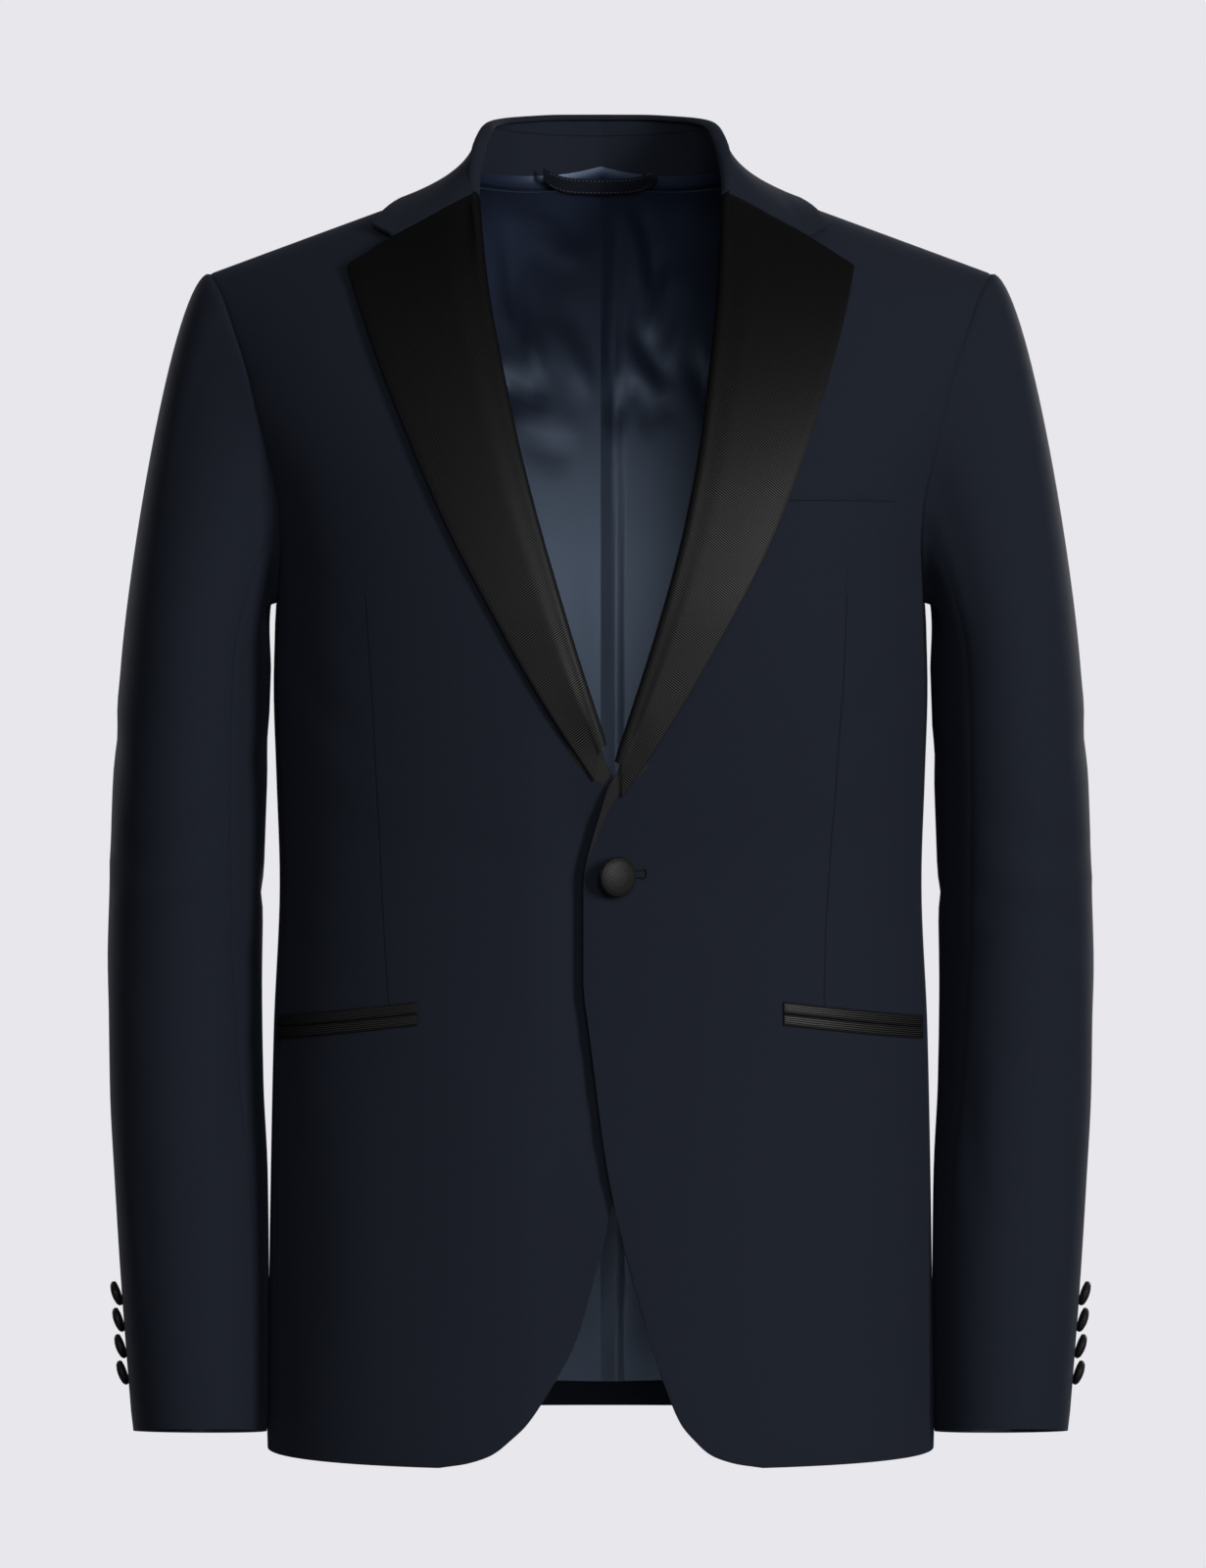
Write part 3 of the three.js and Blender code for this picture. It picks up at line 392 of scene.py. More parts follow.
def back_grid():
    across = NECK_COLUMNS + BLADE_COLUMNS
    columns = np.linspace(0, across, across * FINE + 1)
    levels = np.concatenate([
        mix(-1, BACK_JOIN, np.linspace(0, 1, SIDE_ROWS * FINE + 1)),
        mix(BACK_JOIN, 1, np.linspace(0, 1, ARCH_ROWS * FINE + 1)[1:]),
    ])
    upper = np.arange(len(levels)) > SIDE_ROWS * FINE
    down = np.maximum(0, (BACK_JOIN - levels) / (1 + BACK_JOIN))
    seam = np.where(upper, meet(armhole_x, np.maximum(levels, BACK_JOIN), True),
                    mix(BACK_SEAM_TOP, BACK_SEAM_HEM, down))
    seam = np.where(upper, seam, seam + seam_inset(seam, levels))
    swing = np.sin(np.minimum(columns / NECK_COLUMNS, 1) * math.pi / 2)
    reach = np.sin(math.pi - NECK_THETA) ** (2 / RING) * swing
    neck = math.pi - np.arcsin(reach ** (RING / 2))
    blade = np.maximum(0, (columns - NECK_COLUMNS) / BLADE_COLUMNS)
    theta = np.where(columns > NECK_COLUMNS, mix(NECK_THETA, seam[:, None], blade), neck[None, :])
    top = np.where(columns < NECK_COLUMNS, neck_height(theta), 1.0)
    share = ((levels - BACK_JOIN) / (1 - BACK_JOIN))[:, None]
    height = np.where(upper[:, None], mix(BACK_JOIN, top, share), levels[:, None])
    p, n = body(theta, height), body_normal(theta, height)
    p[:, 0, 0] = SEAM / 2
    shoulder = columns >= NECK_COLUMNS
    p[-1, shoulder, 1] = np.maximum(p[-1, shoulder, 1], 0) + SEAM / 2
    return p, n


FRONTS = {name: front_grid(sign) for name, sign in SIDES}
SIDE_PANEL = side_grid()
BACK_PANEL = back_grid()


def away_from(p, n, inside, closed):
    """At each point of an edge, the direction in the cloth that leads off the edge."""
    after = np.roll(p, -1, axis=0)
    before = np.roll(p, 1, axis=0)
    if not closed:
        after[-1], before[0] = p[-1], p[0]
    tangent = unit(after - before)
    away = p - inside
    away = away - tangent * np.sum(away * tangent, axis=-1, keepdims=True)
    away = away - n * np.sum(away * n, axis=-1, keepdims=True)
    return unit(away)


def armhole_loop(name):
    front, fn = FRONTS[name]
    low = (len(FRONT_LEVELS) - 1) * FINE
    fore = [a[low:, -1][::-1] for a in (front, fn)] + [front[low:, -8][::-1]]
    side = [SIDE_PANEL[0][-1], SIDE_PANEL[1][-1], SIDE_PANEL[0][-1 - FINE]]
    up = SIDE_ROWS * FINE
    hind = [a[up:, -1] for a in BACK_PANEL] + [BACK_PANEL[0][up:, -1 - FINE]]
    out = []
    for f, s, h in zip(fore, side, hind):
        top, foot_f, foot_h = (f[0] + h[-1]) / 2, (f[-1] + s[0]) / 2, (s[-1] + h[0]) / 2
        out.append(np.vstack([[top], f[1:-1], [foot_f], s[1:-1], [foot_h], h[1:-1]]))
    p, n, inside = out
    n = unit(n)
    return p, n, away_from(p, n, inside, True)


def sleeve_point(angle, z):
    sides = ("outer", "inner", "front", "back")
    outer, inner, front, back = (SLEEVE_SIZES.read(side, z) for side in sides)
    across, deep = (outer - inner) / 2, (back - front) / 2
    x = inner + across + across * signed_power(np.cos(angle), 2 / SLEEVE_RING)
    y = front + deep - deep * signed_power(np.sin(angle), 2 / SLEEVE_RING)
    slant = smooth(-z, -SLANT_FROM, -CUFF) * CUFF_SLANT * (y - (front + deep))
    return np.stack(np.broadcast_arrays(x, y, z - slant), axis=-1)


def seam_angle(ends, z):
    return np.radians(mix(ends[0], ends[1], smooth(-z, -BICEPS, -CUFF)))


def sleeve_ring(name):
    """The whole sleeve as one closed ring of columns, from the armhole down to the cuff."""
    p, n, away = armhole_loop(name)
    order = (np.arange(len(p)) - HIND_STEPS * FINE) % len(p)
    p, n, away = p[order], n[order], away[order]
    steps = np.arange(len(p)) / FINE

    def angle_at(z):
        hind, fore = seam_angle(HIND_SEAM, z), seam_angle(FORE_SEAM, z)
        under = (steps - TOP_COLUMNS) / UNDER_COLUMNS
        return np.where(under < 0, mix(hind, fore, steps / TOP_COLUMNS),
                        mix(fore, hind + 2 * math.pi, under))

    drop = -p[:, 2]
    turn = np.radians(mix(HEAD_LIFT, 90.0, smooth(drop, 120, 245)))[:, None]
    leave = away * np.cos(turn) + n * np.sin(turn)
    across = n * np.cos(turn) - away * np.sin(turn)
    first = p + away * SEAM + n * UNDERARM_CLEAR * np.sin(turn)
    end = sleeve_point(angle_at(BICEPS), np.full(len(p), float(BICEPS)))
    into = unit(sleeve_point(angle_at(BICEPS), np.full(len(p), BICEPS - 8.0)) - end)
    reach = np.linalg.norm(end - first, axis=-1, keepdims=True)
    out = leave * mix(60.0, 24.0, smooth(drop, 60, 245))[:, None]
    into = into * reach * mix(0.8, 0.9, smooth(drop, 60, 245))[:, None]
    head = [hermite(first, out, end, into, t) for t in np.linspace(0, 1, HEAD_ROWS * FINE + 1)[:-1]]
    arm = [sleeve_point(angle_at(z), np.full(len(p), z)) for z in rows_between(SLEEVE_LEVELS, FINE)]
    grid = np.array(head + arm)
    below = np.concatenate([grid[1:], grid[-1:]])
    above = np.concatenate([grid[:1], grid[:-1]])
    normal = unit(np.cross(np.roll(grid, -1, axis=1) - np.roll(grid, 1, axis=1), below - above))
    normal[0] = across
    return grid, normal


# Lapels and collar
LEAF_COLUMNS = 30
ROLL_COLUMNS = 12
LAPEL_ROWS = 64
ROLL_TAIL = 12.0
COLLAR_STEPS = 48
STAND_STEPS = 48
STAND_ROWS = 12
STAND_REACH = 0.84


def gorge_point(sign, share, tip, shift):
    at = [row for row in GORGE.at] + [1.0]
    x = np.interp(share, at, list(GORGE.columns["x"][0]) + [tip[0]])
    z = np.interp(share, at, list(GORGE.columns["z"][0]) + [tip[1]])
    return front_point(sign, x, z + shift)


def lift_at(share):
    return mix(ROLL_INNER - WALL / 2, LEAF_LIFT, smooth(share, 0, 0.25))


def rolled_row(centre, crest, outward, roll_from, radius, tail, leaf):
    turn = np.linspace(roll_from, 0, ROLL_COLUMNS + 1)[:, None]
    arc = centre + crest * radius * np.sin(turn) + outward * radius * np.cos(turn)
    if tail:
        back = np.linspace(1, 0, 4)[:-1, None]
        arc = np.vstack([centre - outward * radius - crest * tail * back, arc])
    return np.vstack([arc, leaf])


def lapel_station(sign, name, t):
    down = t**1.15
    roll_z = mix(-15.5 - SEAM, LAPEL_END[name][0], down)
    edge_z = mix(LAPEL_TIP[1], LAPEL_END[name][1], down)

    def reach(z):
        return FRONT_EDGE.read("reach", z) + sign * closing(z) + ROLL_OUTER

    p, n = front_point(sign, reach(roll_z), roll_z)
    below, _ = front_point(sign, reach(roll_z - 3), roll_z - 3)
    crest = unit(np.cross(unit(below - p), n))
    crest = -crest if crest[0] > 0 else crest
    share = np.linspace(0, 1, LEAF_COLUMNS + 1)[1:]
    edge = LAPEL_EDGE.read("reach", edge_z) + sign * closing(edge_z)
    q, m = front_point(sign, mix(reach(roll_z), edge, share), mix(roll_z, edge_z, share))
    top, top_n = gorge_point(sign, share, LAPEL_TIP, -SEAM)
    blend = 1 - smooth(t, 0, 0.2)
    q, m = mix(q, top, blend), unit(mix(m, top_n, blend))
    lie = 1 - 0.75 * smooth(t, 0.9, 1.0) * smooth(share, 0.0, 0.3)
    return p - n * WALL / 2, crest, n, q, m, (lift_at(share) * lie)[:, None]


def lapel_grids(name, sign):
    outer, inner = [], []
    for t in np.linspace(0, 1, LAPEL_ROWS + 1):
        centre, crest, n, q, m, lift = lapel_station(sign, name, t)
        for rows, radius, over in ((outer, ROLL_OUTER, lift + LEAF_WALL), (inner, ROLL_INNER, lift)):
            rows.append(rolled_row(centre, crest, n, math.pi, radius, ROLL_TAIL, q + m * over))
    return np.array(outer), np.array(inner)


def shoulder_at(x, y):
    back = y > 0
    power = arch_of(back)
    z = ridge(x)
    for _ in range(12):
        depth = BODY_SIZES.read("back" if back else "front", z)
        full = depth * (1 - (x / BODY_SIZES.read("half", z)) ** RING) ** (1 / RING)
        z = ARMPIT + (ridge(x) - ARMPIT) * (1 - min(0.99, abs(y) / full) ** power) ** (1 / power)
    return body_at(np.float64(x), np.float64(z), np.bool_(back))


LAPEL_TOP = lapel_station(1, "left", 0.0)
UP = np.array([0.0, 0.0, 1.0])


def collar_station(k):
    read = COLLAR.read
    fold = np.array([read("fold_x", k), read("fold_y", k), read("fold_z", k)])
    if k > 0.985:
        edge, n = front_point(1, COLLAR_TIP[0], COLLAR_TIP[1])
    else:
        edge, n = shoulder_at(float(read("edge_x", k)), float(read("edge_y", k)))
    step = 0.03
    dx = read("fold_x", k + step) - read("fold_x", k - step)
    dy = read("fold_y", k + step) - read("fold_y", k - step)
    plan = np.array([0.0, 1.0, 0.0]) if k < step else unit(np.array([-dy, dx, 0.0]))
    turn = smooth(k, 0.7, 1)
    crest = unit(mix(UP, LAPEL_TOP[1], turn))
    outward = mix(plan, LAPEL_TOP[2], turn)
    outward = unit(outward - crest * np.dot(outward, crest))
    gorge = LAPEL_TOP[0] + UP * SEAM * 2
    centre = mix(fold - crest * ROLL_OUTER, gorge, smooth(k, 0.8, 1))
    start = centre + outward * ROLL_INNER
    landing = edge + n * mix(COLLAR_LIFT, LEAF_LIFT, smooth(k, 0.8, 1))
    span = landing - start
    out = -crest * np.linalg.norm(span) * mix(1, 0.6, turn)
    into = (span - n * np.dot(span, n)) * 1.1
    share = np.linspace(0, 1, LEAF_COLUMNS + 1)
    free = np.array([hermite(start, out, landing, into, s) for s in share])
    seam, seam_n = gorge_point(1, share, COLLAR_TIP, SEAM)
    leaf = mix(free, seam + seam_n * lift_at(share)[:, None], 1 - smooth(1 - k, 0, 0.24))
    return centre, crest, outward, leaf


def mirrored(grid):
    return np.concatenate([grid[:0:-1] * np.array([-1.0, 1.0, 1.0]), grid])


def collar_grids():
    stations = [collar_station(k) for k in np.linspace(0, 1, COLLAR_STEPS + 1)]
    centre, crest, outward, leaf = (mirrored(np.array(part)) for part in zip(*stations))
    along = np.gradient(leaf, axis=0)
    across = np.gradient(leaf, axis=1)
    n = unit(np.cross(along, across))
    n = np.where(n[..., 2:] < 0, -n, n)
    outer, inner = [], []
    for i in range(len(centre)):
        frame_of = (centre[i], crest[i], outward[i], math.pi * 0.9)
        outer.append(rolled_row(*frame_of, ROLL_OUTER, 0, leaf[i, 1:] + n[i, 1:] * LEAF_WALL))
        inner.append(rolled_row(*frame_of, ROLL_INNER, 0, leaf[i, 1:]))
    return np.array(outer), np.array(inner)


def stand_grids():
    back, back_n = BACK_PANEL
    front, front_n = FRONTS["left"]
    columns = NECK_COLUMNS * FINE + 1
    rows = [len(front) - 1 - i for i in range(1, FINE + 1)]
    p = np.vstack([back[-1, :columns], front[rows, 0]])
    n = np.vstack([back_n[-1, :columns], front_n[rows, 0]])
    inside = np.vstack([back[-1 - FINE, :columns], front[rows, 7]])
    away = away_from(p, n, inside, False)
    at = np.arange(len(p)) / (len(p) - 1)
    outer, inner = [], []
    for t in np.linspace(0, 1, STAND_STEPS + 1):
        here, nn, aw = (
            np.array([np.interp(t, at, part[:, c]) for c in range(3)]) for part in (p, n, away)
        )
        nn, aw = unit(nn), unit(aw)
        centre, crest, outward, _ = collar_station(t * STAND_REACH)
        for rows_of, inward, thick in ((outer, 0.0, WALL / 2), (inner, WALL, -WALL / 2)):
            low = here + aw * SEAM - nn * inward
            high = centre + outward * thick
            rise = np.linalg.norm(high - low) * 0.5
            share = np.linspace(0, 1, STAND_ROWS + 1)
            rows_of.append([hermite(low, aw * rise, high, crest * rise, s) for s in share])
    return mirrored(np.array(outer)), mirrored(np.array(inner))


# Small parts, in millimetres
WELT = {"inner": 98.0, "outer": 168.5, "top": -174.0, "bottom": -196.0, "rise": 1.5, "gap": 0.8, "wall": 1.3}
JET = {"inner": 104.0, "outer": 185.5, "top": -480.5, "tall": 6.4, "between": 0.4, "fall": 10.0,
       "gap": 0.75, "wall": 1.2}
LOOP = {"half": 34.0, "wide": 8.0, "wall": 1.4, "ends": 5.0, "dip": -3.0, "bow": 5.5}
LINING_GAP = 0.6
LINING_RISE = 15.0
LOOP_LEAN = 4.6   # how far the loop's upper part stands in from the wall
LINED_FOOT = 3   # rows of the stand, from its foot, that the lining covers
LINING_EASE = 1.9
PLEAT = {"wide": 10.5, "deep": 1.3, "fall": 2.0}
LOOP_GAP = 0.6
FRONT_BUTTON = {"x": 7.5, "z": -409.0, "radius": 11.5, "tall": 4.2, "shank": 3.0, "stand": 3.0, "turn": 27.0}
CUFF_BUTTON = {"radius": 7.5, "tall": 3.7, "first": -653.5, "pitch": 15.3, "tilt": 15.0, "angle": -3.0}
BUTTONS_PER_CUFF = 4
FLOOR = {"radius": 5, "level": -1.5, "sides": 64}   # in metres
PALE = (0.807, 0.799, 0.838, 1)   # the room and the floor as the camera sees them

# Darts, as x and z of points down each one
DARTS = {"right": [(134, -249), (130, -310), (124, -437), (121, -483)],
         "left": [(140.5, -247), (138.5, -297), (128.5, -437), (127.3, -485)]}

# Creases: where, which way (degrees from level), how long, how wide, how deep
BODY_CREASES = [
    (60, -398, 12, 120, 9, -0.9), (95, -430, -14, 100, 11, -0.8), (52, -440, -30, 90, 8, 0.7),
    (150, -380, 20, 90, 13, -1.1), (165, -330, 40, 70, 10, 0.8), (172, -290, 62, 90, 10, -1.2),
    (176, -215, 78, 110, 9, -0.9), (110, -600, 84, 210, 22, -1.2), (60, -560, 72, 170, 17, 0.9),
    (168, -620, 88, 190, 15, -1.3), (120, -92, 24, 90, 12, -0.6), (155, -120, 40, 70, 10, 0.6),
]
BACK_CREASES = [
    (30, -395, 4, 150, 13, -1.5), (90, -372, -10, 120, 11, -1.2), (70, -430, 8, 130, 14, 1.1),
    (140, -340, -32, 110, 11, -1.4), (150, -285, -55, 120, 10, 1.1), (165, -240, -70, 130, 9, -1.6),
    (100, -90, -18, 110, 14, -1.1), (45, -60, -6, 80, 10, -0.8), (60, -620, 86, 220, 21, -1.7),
    (125, -580, 82, 230, 18, 1.3), (25, -660, 90, 150, 14, 0.9),
]
SLEEVE_CREASES = [
    (52, -300, 32, 80, 9, -1.5), (95, -330, -24, 90, 11, -1.3), (150, -392, 14, 110, 11, -1.9),
    (120, -412, -10, 95, 9, 1.2), (160, -432, 8, 120, 10, -2.2), (215, -452, -16, 90, 9, -1.7),
    (145, -470, 18, 85, 8, -1.3), (62, -505, 62, 120, 13, -1.0), (190, -560, 70, 130, 12, -1.3),
    (110, -610, 82, 120, 12, -0.9), (255, -340, 12, 100, 10, -1.8), (280, -420, -12, 90, 9, -2.0),
    (330, -500, 60, 130, 12, -1.2),
]
LINING_CREASES = {
    "left": [
        (8, -62, 86, 150, 5, -1.3), (31, -30, 101, 90, 5, -1.7), (37, -64, 70, 66, 6, 1.2),
        (31, -98, 118, 56, 6, -1.2), (68, -118, -52, 66, 9, -1.4), (52, -70, 80, 80, 8, 0.9),
        (34, -128, 30, 34, 8, -0.8), (14, -124, 58, 46, 7, -1.1), (62, -236, 80, 210, 22, 0.5),
        (24, -430, 87, 240, 11, -0.9), (74, -560, 78, 200, 18, 0.9), (42, -668, 60, 110, 12, -1.0),
    ],
    "right": [
        (54, -55, 82, 110, 6, -1.4), (41, -14, 22, 46, 8, 1.1), (30, -31, 27, 52, 8, 1.1),
        (49, -84, 62, 56, 7, 1.1), (51, -118, 9, 50, 9, -1.3), (20, -96, 52, 66, 9, 1.0),
        (69, -130, -30, 56, 9, -1.1), (34, -152, 22, 44, 9, -0.7), (31, -300, 86, 220, 22, 0.5),
        (76, -484, 80, 200, 18, 0.9), (26, -622, 70, 120, 12, -1.0), (88, -600, 84, 160, 17, -0.9),
    ],
}


def creases(u, v, rows, sway=1.0):
    """The sum of soft troughs and ridges, each one a line in the cloth that fades at its ends."""
    total = np.zeros(np.shape(u))
    for i, (at_u, at_v, angle, length, width, depth) in enumerate(rows):
        turn = math.radians(angle + 2.5 * sway * math.sin(i * 2.4))
        du, dv = u - at_u, v - at_v
        along = du * math.cos(turn) + dv * math.sin(turn)
        across = dv * math.cos(turn) - du * math.sin(turn)
        across = across - 6 * sway * math.sin(i * 1.7) * (along / length) ** 2 * 4
        taper = smooth(1 - 2 * np.abs(along) / length, 0, 0.7)
        wide = width * (1 + 0.35 * along / length)
        shape = np.exp(-(across / wide) ** 2) - 0.4 * np.exp(-((across - 1.9 * wide) / wide) ** 2)
        total += depth * taper * shape
    return total


# Meshes
def flat_uv(grid, along_first=False):
    """Distances along each row and down the columns of a grid of points, in metres."""
    across = np.linalg.norm(np.diff(grid, axis=1), axis=-1)
    down = np.linalg.norm(np.diff(grid, axis=0), axis=-1).mean(axis=1)
    u = np.concatenate([np.zeros((len(grid), 1)), np.cumsum(across, axis=1)], axis=1)
    v = np.broadcast_to(np.concatenate([[0.0], np.cumsum(down)])[:, None], u.shape)
    uv = np.stack([v, u] if along_first else [u, v], axis=-1)
    return uv * MM


def wall_faces(rows, columns):
    index = np.arange(rows * columns).reshape(rows, columns)
    a, b, c, d = index[:-1, :-1], index[:-1, 1:], index[1:, 1:], index[1:, :-1]
    outer = np.stack([a, b, c, d], axis=-1).reshape(-1, 4)
    inner = np.stack([a, d, c, b], axis=-1).reshape(-1, 4) + rows * columns
    o, i = index, index + rows * columns
    sides = [
        np.stack([o[:-1, 0], o[1:, 0], i[1:, 0], i[:-1, 0]], axis=-1),
        np.stack([o[:-1, -1], i[:-1, -1], i[1:, -1], o[1:, -1]], axis=-1),
        np.stack([o[0, :-1], i[0, :-1], i[0, 1:], o[0, 1:]], axis=-1),
        np.stack([o[-1, :-1], o[-1, 1:], i[-1, 1:], i[-1, :-1]], axis=-1),
    ]
    return outer, inner, np.vstack(sides)


def soften_edges(outer, inner, depth):
    """Rounds a wall's outer rim a little, as a pressed edge of cloth is."""
    outer = outer.copy()
    n = unit(outer - inner)
    lower = np.zeros(outer.shape[:2])
    lower[0], lower[-1], lower[:, 0], lower[:, -1] = depth, depth, depth, depth
    return outer - n * lower[..., None]


def close_seams(inner, reach):
    """Carries a wall's inner side a hair past its edges, to meet its neighbour at the seam."""
    inner = inner.copy()
    for edge, inside in ((0, 1), (-1, -2)):
        inner[edge] += unit(inner[edge] - inner[inside]) * reach
        inner[:, edge] += unit(inner[:, edge] - inner[:, inside]) * reach
    return inner


def make_wall(name, outer, inner, sign, finish, inside=None, uv=None, rim=0.45, extra=None,
              inner_rule=None, reach=0.18, both=False):
    outer, inner = soften_edges(outer, inner, rim), close_seams(inner, reach)
    rows, columns = outer.shape[:2]
    uv = flat_uv(outer) if uv is None else uv
    points = np.vstack([outer.reshape(-1, 3), inner.reshape(-1, 3)]) * MM
    points = points * np.array([sign, 1.0, 1.0])
    skin, lining, rims = wall_faces(rows, columns)
    faces = np.vstack([skin, lining, rims])
    a, b, c = points[faces[:, 0]], points[faces[:, 1]], points[faces[:, 2]]
    d = points[faces[:, 3]]
    volume = np.sum(a * np.cross(b, c)) + np.sum(a * np.cross(c, d))
    if volume < 0:
        faces = faces[:, ::-1]
    mesh = bpy.data.meshes.new(name)
    mesh.from_pydata(points.tolist(), [], faces.tolist())
    flat = np.vstack([uv.reshape(-1, 2), uv.reshape(-1, 2)])
    layer = mesh.uv_layers.new(name="cloth")
    layer.data.foreach_set("uv", flat[faces.ravel()].ravel())
    mesh.materials.append(finish)
    if inside:
        mesh.materials.append(inside)
        number = np.zeros(len(faces), int)
        chosen = np.ones(len(lining), bool)
        if inner_rule:
            chosen = inner_rule(rows - 1, columns - 1).ravel()
        number[len(skin):len(skin) + len(lining)] = chosen
        mesh.polygons.foreach_set("material_index", number)
    for key, values in (extra or {}).items():
        hidden = values.reshape(-1) if both else np.full(values.size, 9.0)
        shown = np.concatenate([values.reshape(-1), hidden])
        mesh.attributes.new(key, "FLOAT", "POINT").data.foreach_set("value", shown)
    mesh.polygons.foreach_set("use_smooth", np.ones(len(faces), bool))
    mesh.set_sharp_from_angle(angle=math.radians(50))
    mesh.validate()
    mesh.update()
    made = bpy.data.objects.new(name, mesh)
    bpy.context.scene.collection.objects.link(made)
    return made


def area_of(grid):
    a, b, c, d = grid[:-1, :-1], grid[:-1, 1:], grid[1:, 1:], grid[1:, :-1]
    halves = (np.cross(b - a, c - a), np.cross(c - a, d - a))
    tri = np.linalg.norm(halves[0], axis=-1) + np.linalg.norm(halves[1], axis=-1)
    return float(tri.sum() / 2) * MM * MM


def cut_of(grid):
    """Width and length of the smallest upright piece of cloth that the panel is cut from."""
    width = np.linalg.norm(np.diff(grid, axis=1), axis=-1).sum(axis=1).max() * MM
    length = np.linalg.norm(np.diff(grid, axis=0), axis=-1).sum(axis=0).max() * MM
    return float(width), float(length)


UNDER_BOW = 4.6   # how far the right front bows in beside the left front's edge
LEAST_COVER = 0.3  # the least share of its rectangle that a sheet is said to cover
LEAST_CUT = 0.01  # a strip narrower than this is stated at this width, with its real area


def settle(piece, node, grid):
    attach(piece, BODY)
    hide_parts(node)
    width, length = (max(side, LEAST_CUT) for side in cut_of(grid))
    area = min(max(area_of(grid), LEAST_COVER * width * length), width * length)


# Shader groups for the threads of the cloth, which give masks and heights only
def new_group(name, inputs, outputs):
    group = bpy.data.node_groups.new(name, "ShaderNodeTree")
    for key, kind, default in inputs:
        made = group.interface.new_socket(key, in_out="INPUT", socket_type=kind)
        if default is not None:
            made.default_value = default
    for key, kind in outputs:
        group.interface.new_socket(key, in_out="OUTPUT", socket_type=kind)
    return group, group.nodes.new("NodeGroupInput"), group.nodes.new("NodeGroupOutput")


def node(tree, kind, **settings):
    made = tree.nodes.new(kind)
    for key, value in settings.items():
        setattr(made, key, value)
    return made


def maths(tree, operation, a, b=None, clamp=False):
    made = node(tree, "ShaderNodeMath", operation=operation, use_clamp=clamp)
    for socket, value in zip(made.inputs, (a, b)):
        if value is None:
            continue
        if isinstance(value, (int, float)):
            socket.default_value = value
        else:
            tree.links.new(value, socket)
    return made.outputs[0]


def yarns_group():
    """Crossed yarns: a fine plain weave with uneven threads."""
    group, give, take = new_group(
        "Crossed yarns",
        [("Cloth", "NodeSocketVector", None), ("Pitch", "NodeSocketFloat", 0.0006)],
        [("Height", "NodeSocketFloat"), ("Fleck", "NodeSocketFloat")],
    )
    split = node(group, "ShaderNodeSeparateXYZ")
    group.links.new(give.outputs["Cloth"], split.inputs[0])
    turn = maths(group, "DIVIDE", 2 * math.pi, give.outputs["Pitch"])
    warp = maths(group, "SINE", maths(group, "MULTIPLY", split.outputs["X"], turn))
    weft = maths(group, "SINE", maths(group, "MULTIPLY", split.outputs["Y"], turn))
    slubs = []
    for stretch in ((260.0, 2600.0, 1.0), (2600.0, 260.0, 1.0)):
        scale = node(group, "ShaderNodeVectorMath", operation="MULTIPLY")
        group.links.new(give.outputs["Cloth"], scale.inputs[0])
        scale.inputs[1].default_value = stretch
        noise = node(group, "ShaderNodeTexNoise")
        noise.inputs["Scale"].default_value = 1.0
        noise.inputs["Detail"].default_value = 2.0
        group.links.new(scale.outputs[0], noise.inputs["Vector"])
        slubs.append(noise.outputs["Fac"])
    fleck = maths(group, "MULTIPLY", maths(group, "ADD", slubs[0], slubs[1]), 0.5)
    crossing = maths(group, "MULTIPLY", warp, weft)
    height = maths(group, "MULTIPLY", maths(group, "ADD", crossing, fleck), 0.5)
    group.links.new(height, take.inputs["Height"])
    group.links.new(fleck, take.inputs["Fleck"])
    return group


def ribs_group():
    """Rounded ribs that lie side by side along the cloth's second direction."""
    group, give, take = new_group(
        "Silk ribs",
        [("Cloth", "NodeSocketVector", None), ("Pitch", "NodeSocketFloat", 0.0012)],
        [("Height", "NodeSocketFloat"), ("Top", "NodeSocketFloat"), ("Fleck", "NodeSocketFloat")],
    )
    split = node(group, "ShaderNodeSeparateXYZ")
    group.links.new(give.outputs["Cloth"], split.inputs[0])
    noise = node(group, "ShaderNodeTexNoise")
    noise.inputs["Scale"].default_value = 90.0
    noise.inputs["Detail"].default_value = 2.0
    group.links.new(give.outputs["Cloth"], noise.inputs["Vector"])
    waver = maths(group, "MULTIPLY", maths(group, "SUBTRACT", noise.outputs["Fac"], 0.5), 0.0009)
    at = maths(group, "ADD", split.outputs["Y"], waver)
    turn = maths(group, "DIVIDE", 2 * math.pi, give.outputs["Pitch"])
    wave = maths(group, "SINE", maths(group, "MULTIPLY", at, turn))
    height = maths(group, "ADD", maths(group, "MULTIPLY", wave, 0.5), 0.5)
    top = maths(group, "POWER", height, 1.4)
    group.links.new(height, take.inputs["Height"])
    group.links.new(top, take.inputs["Top"])
    group.links.new(noise.outputs["Fac"], take.inputs["Fleck"])
    return group


def line_group():
    """A pressed seam: dark and sunk where the distance from it is small."""
    group, give, take = new_group(
        "Pressed line",
        [("Distance", "NodeSocketFloat", 1.0), ("Half width", "NodeSocketFloat", 0.7)],
        [("Mask", "NodeSocketFloat")],
    )
    distance = maths(group, "ABSOLUTE", give.outputs["Distance"])
    ratio = maths(group, "DIVIDE", distance, give.outputs["Half width"])
    mask = maths(group, "SUBTRACT", 1.0, ratio, clamp=True)
    group.links.new(mask, take.inputs["Mask"])
    return group


def start_material(name, roughness, **sockets):
    material = bpy.data.materials.new(name)
    material.use_nodes = True
    tree = material.node_tree
    shader = tree.nodes["Principled BSDF"]
    shader.inputs["Roughness"].default_value = roughness
    for key, value in sockets.items():
        shader.inputs[key.replace("_", " ")].default_value = value
    cloth = node(tree, "ShaderNodeUVMap", uv_map="cloth")
    return material, tree, shader, cloth.outputs[0]


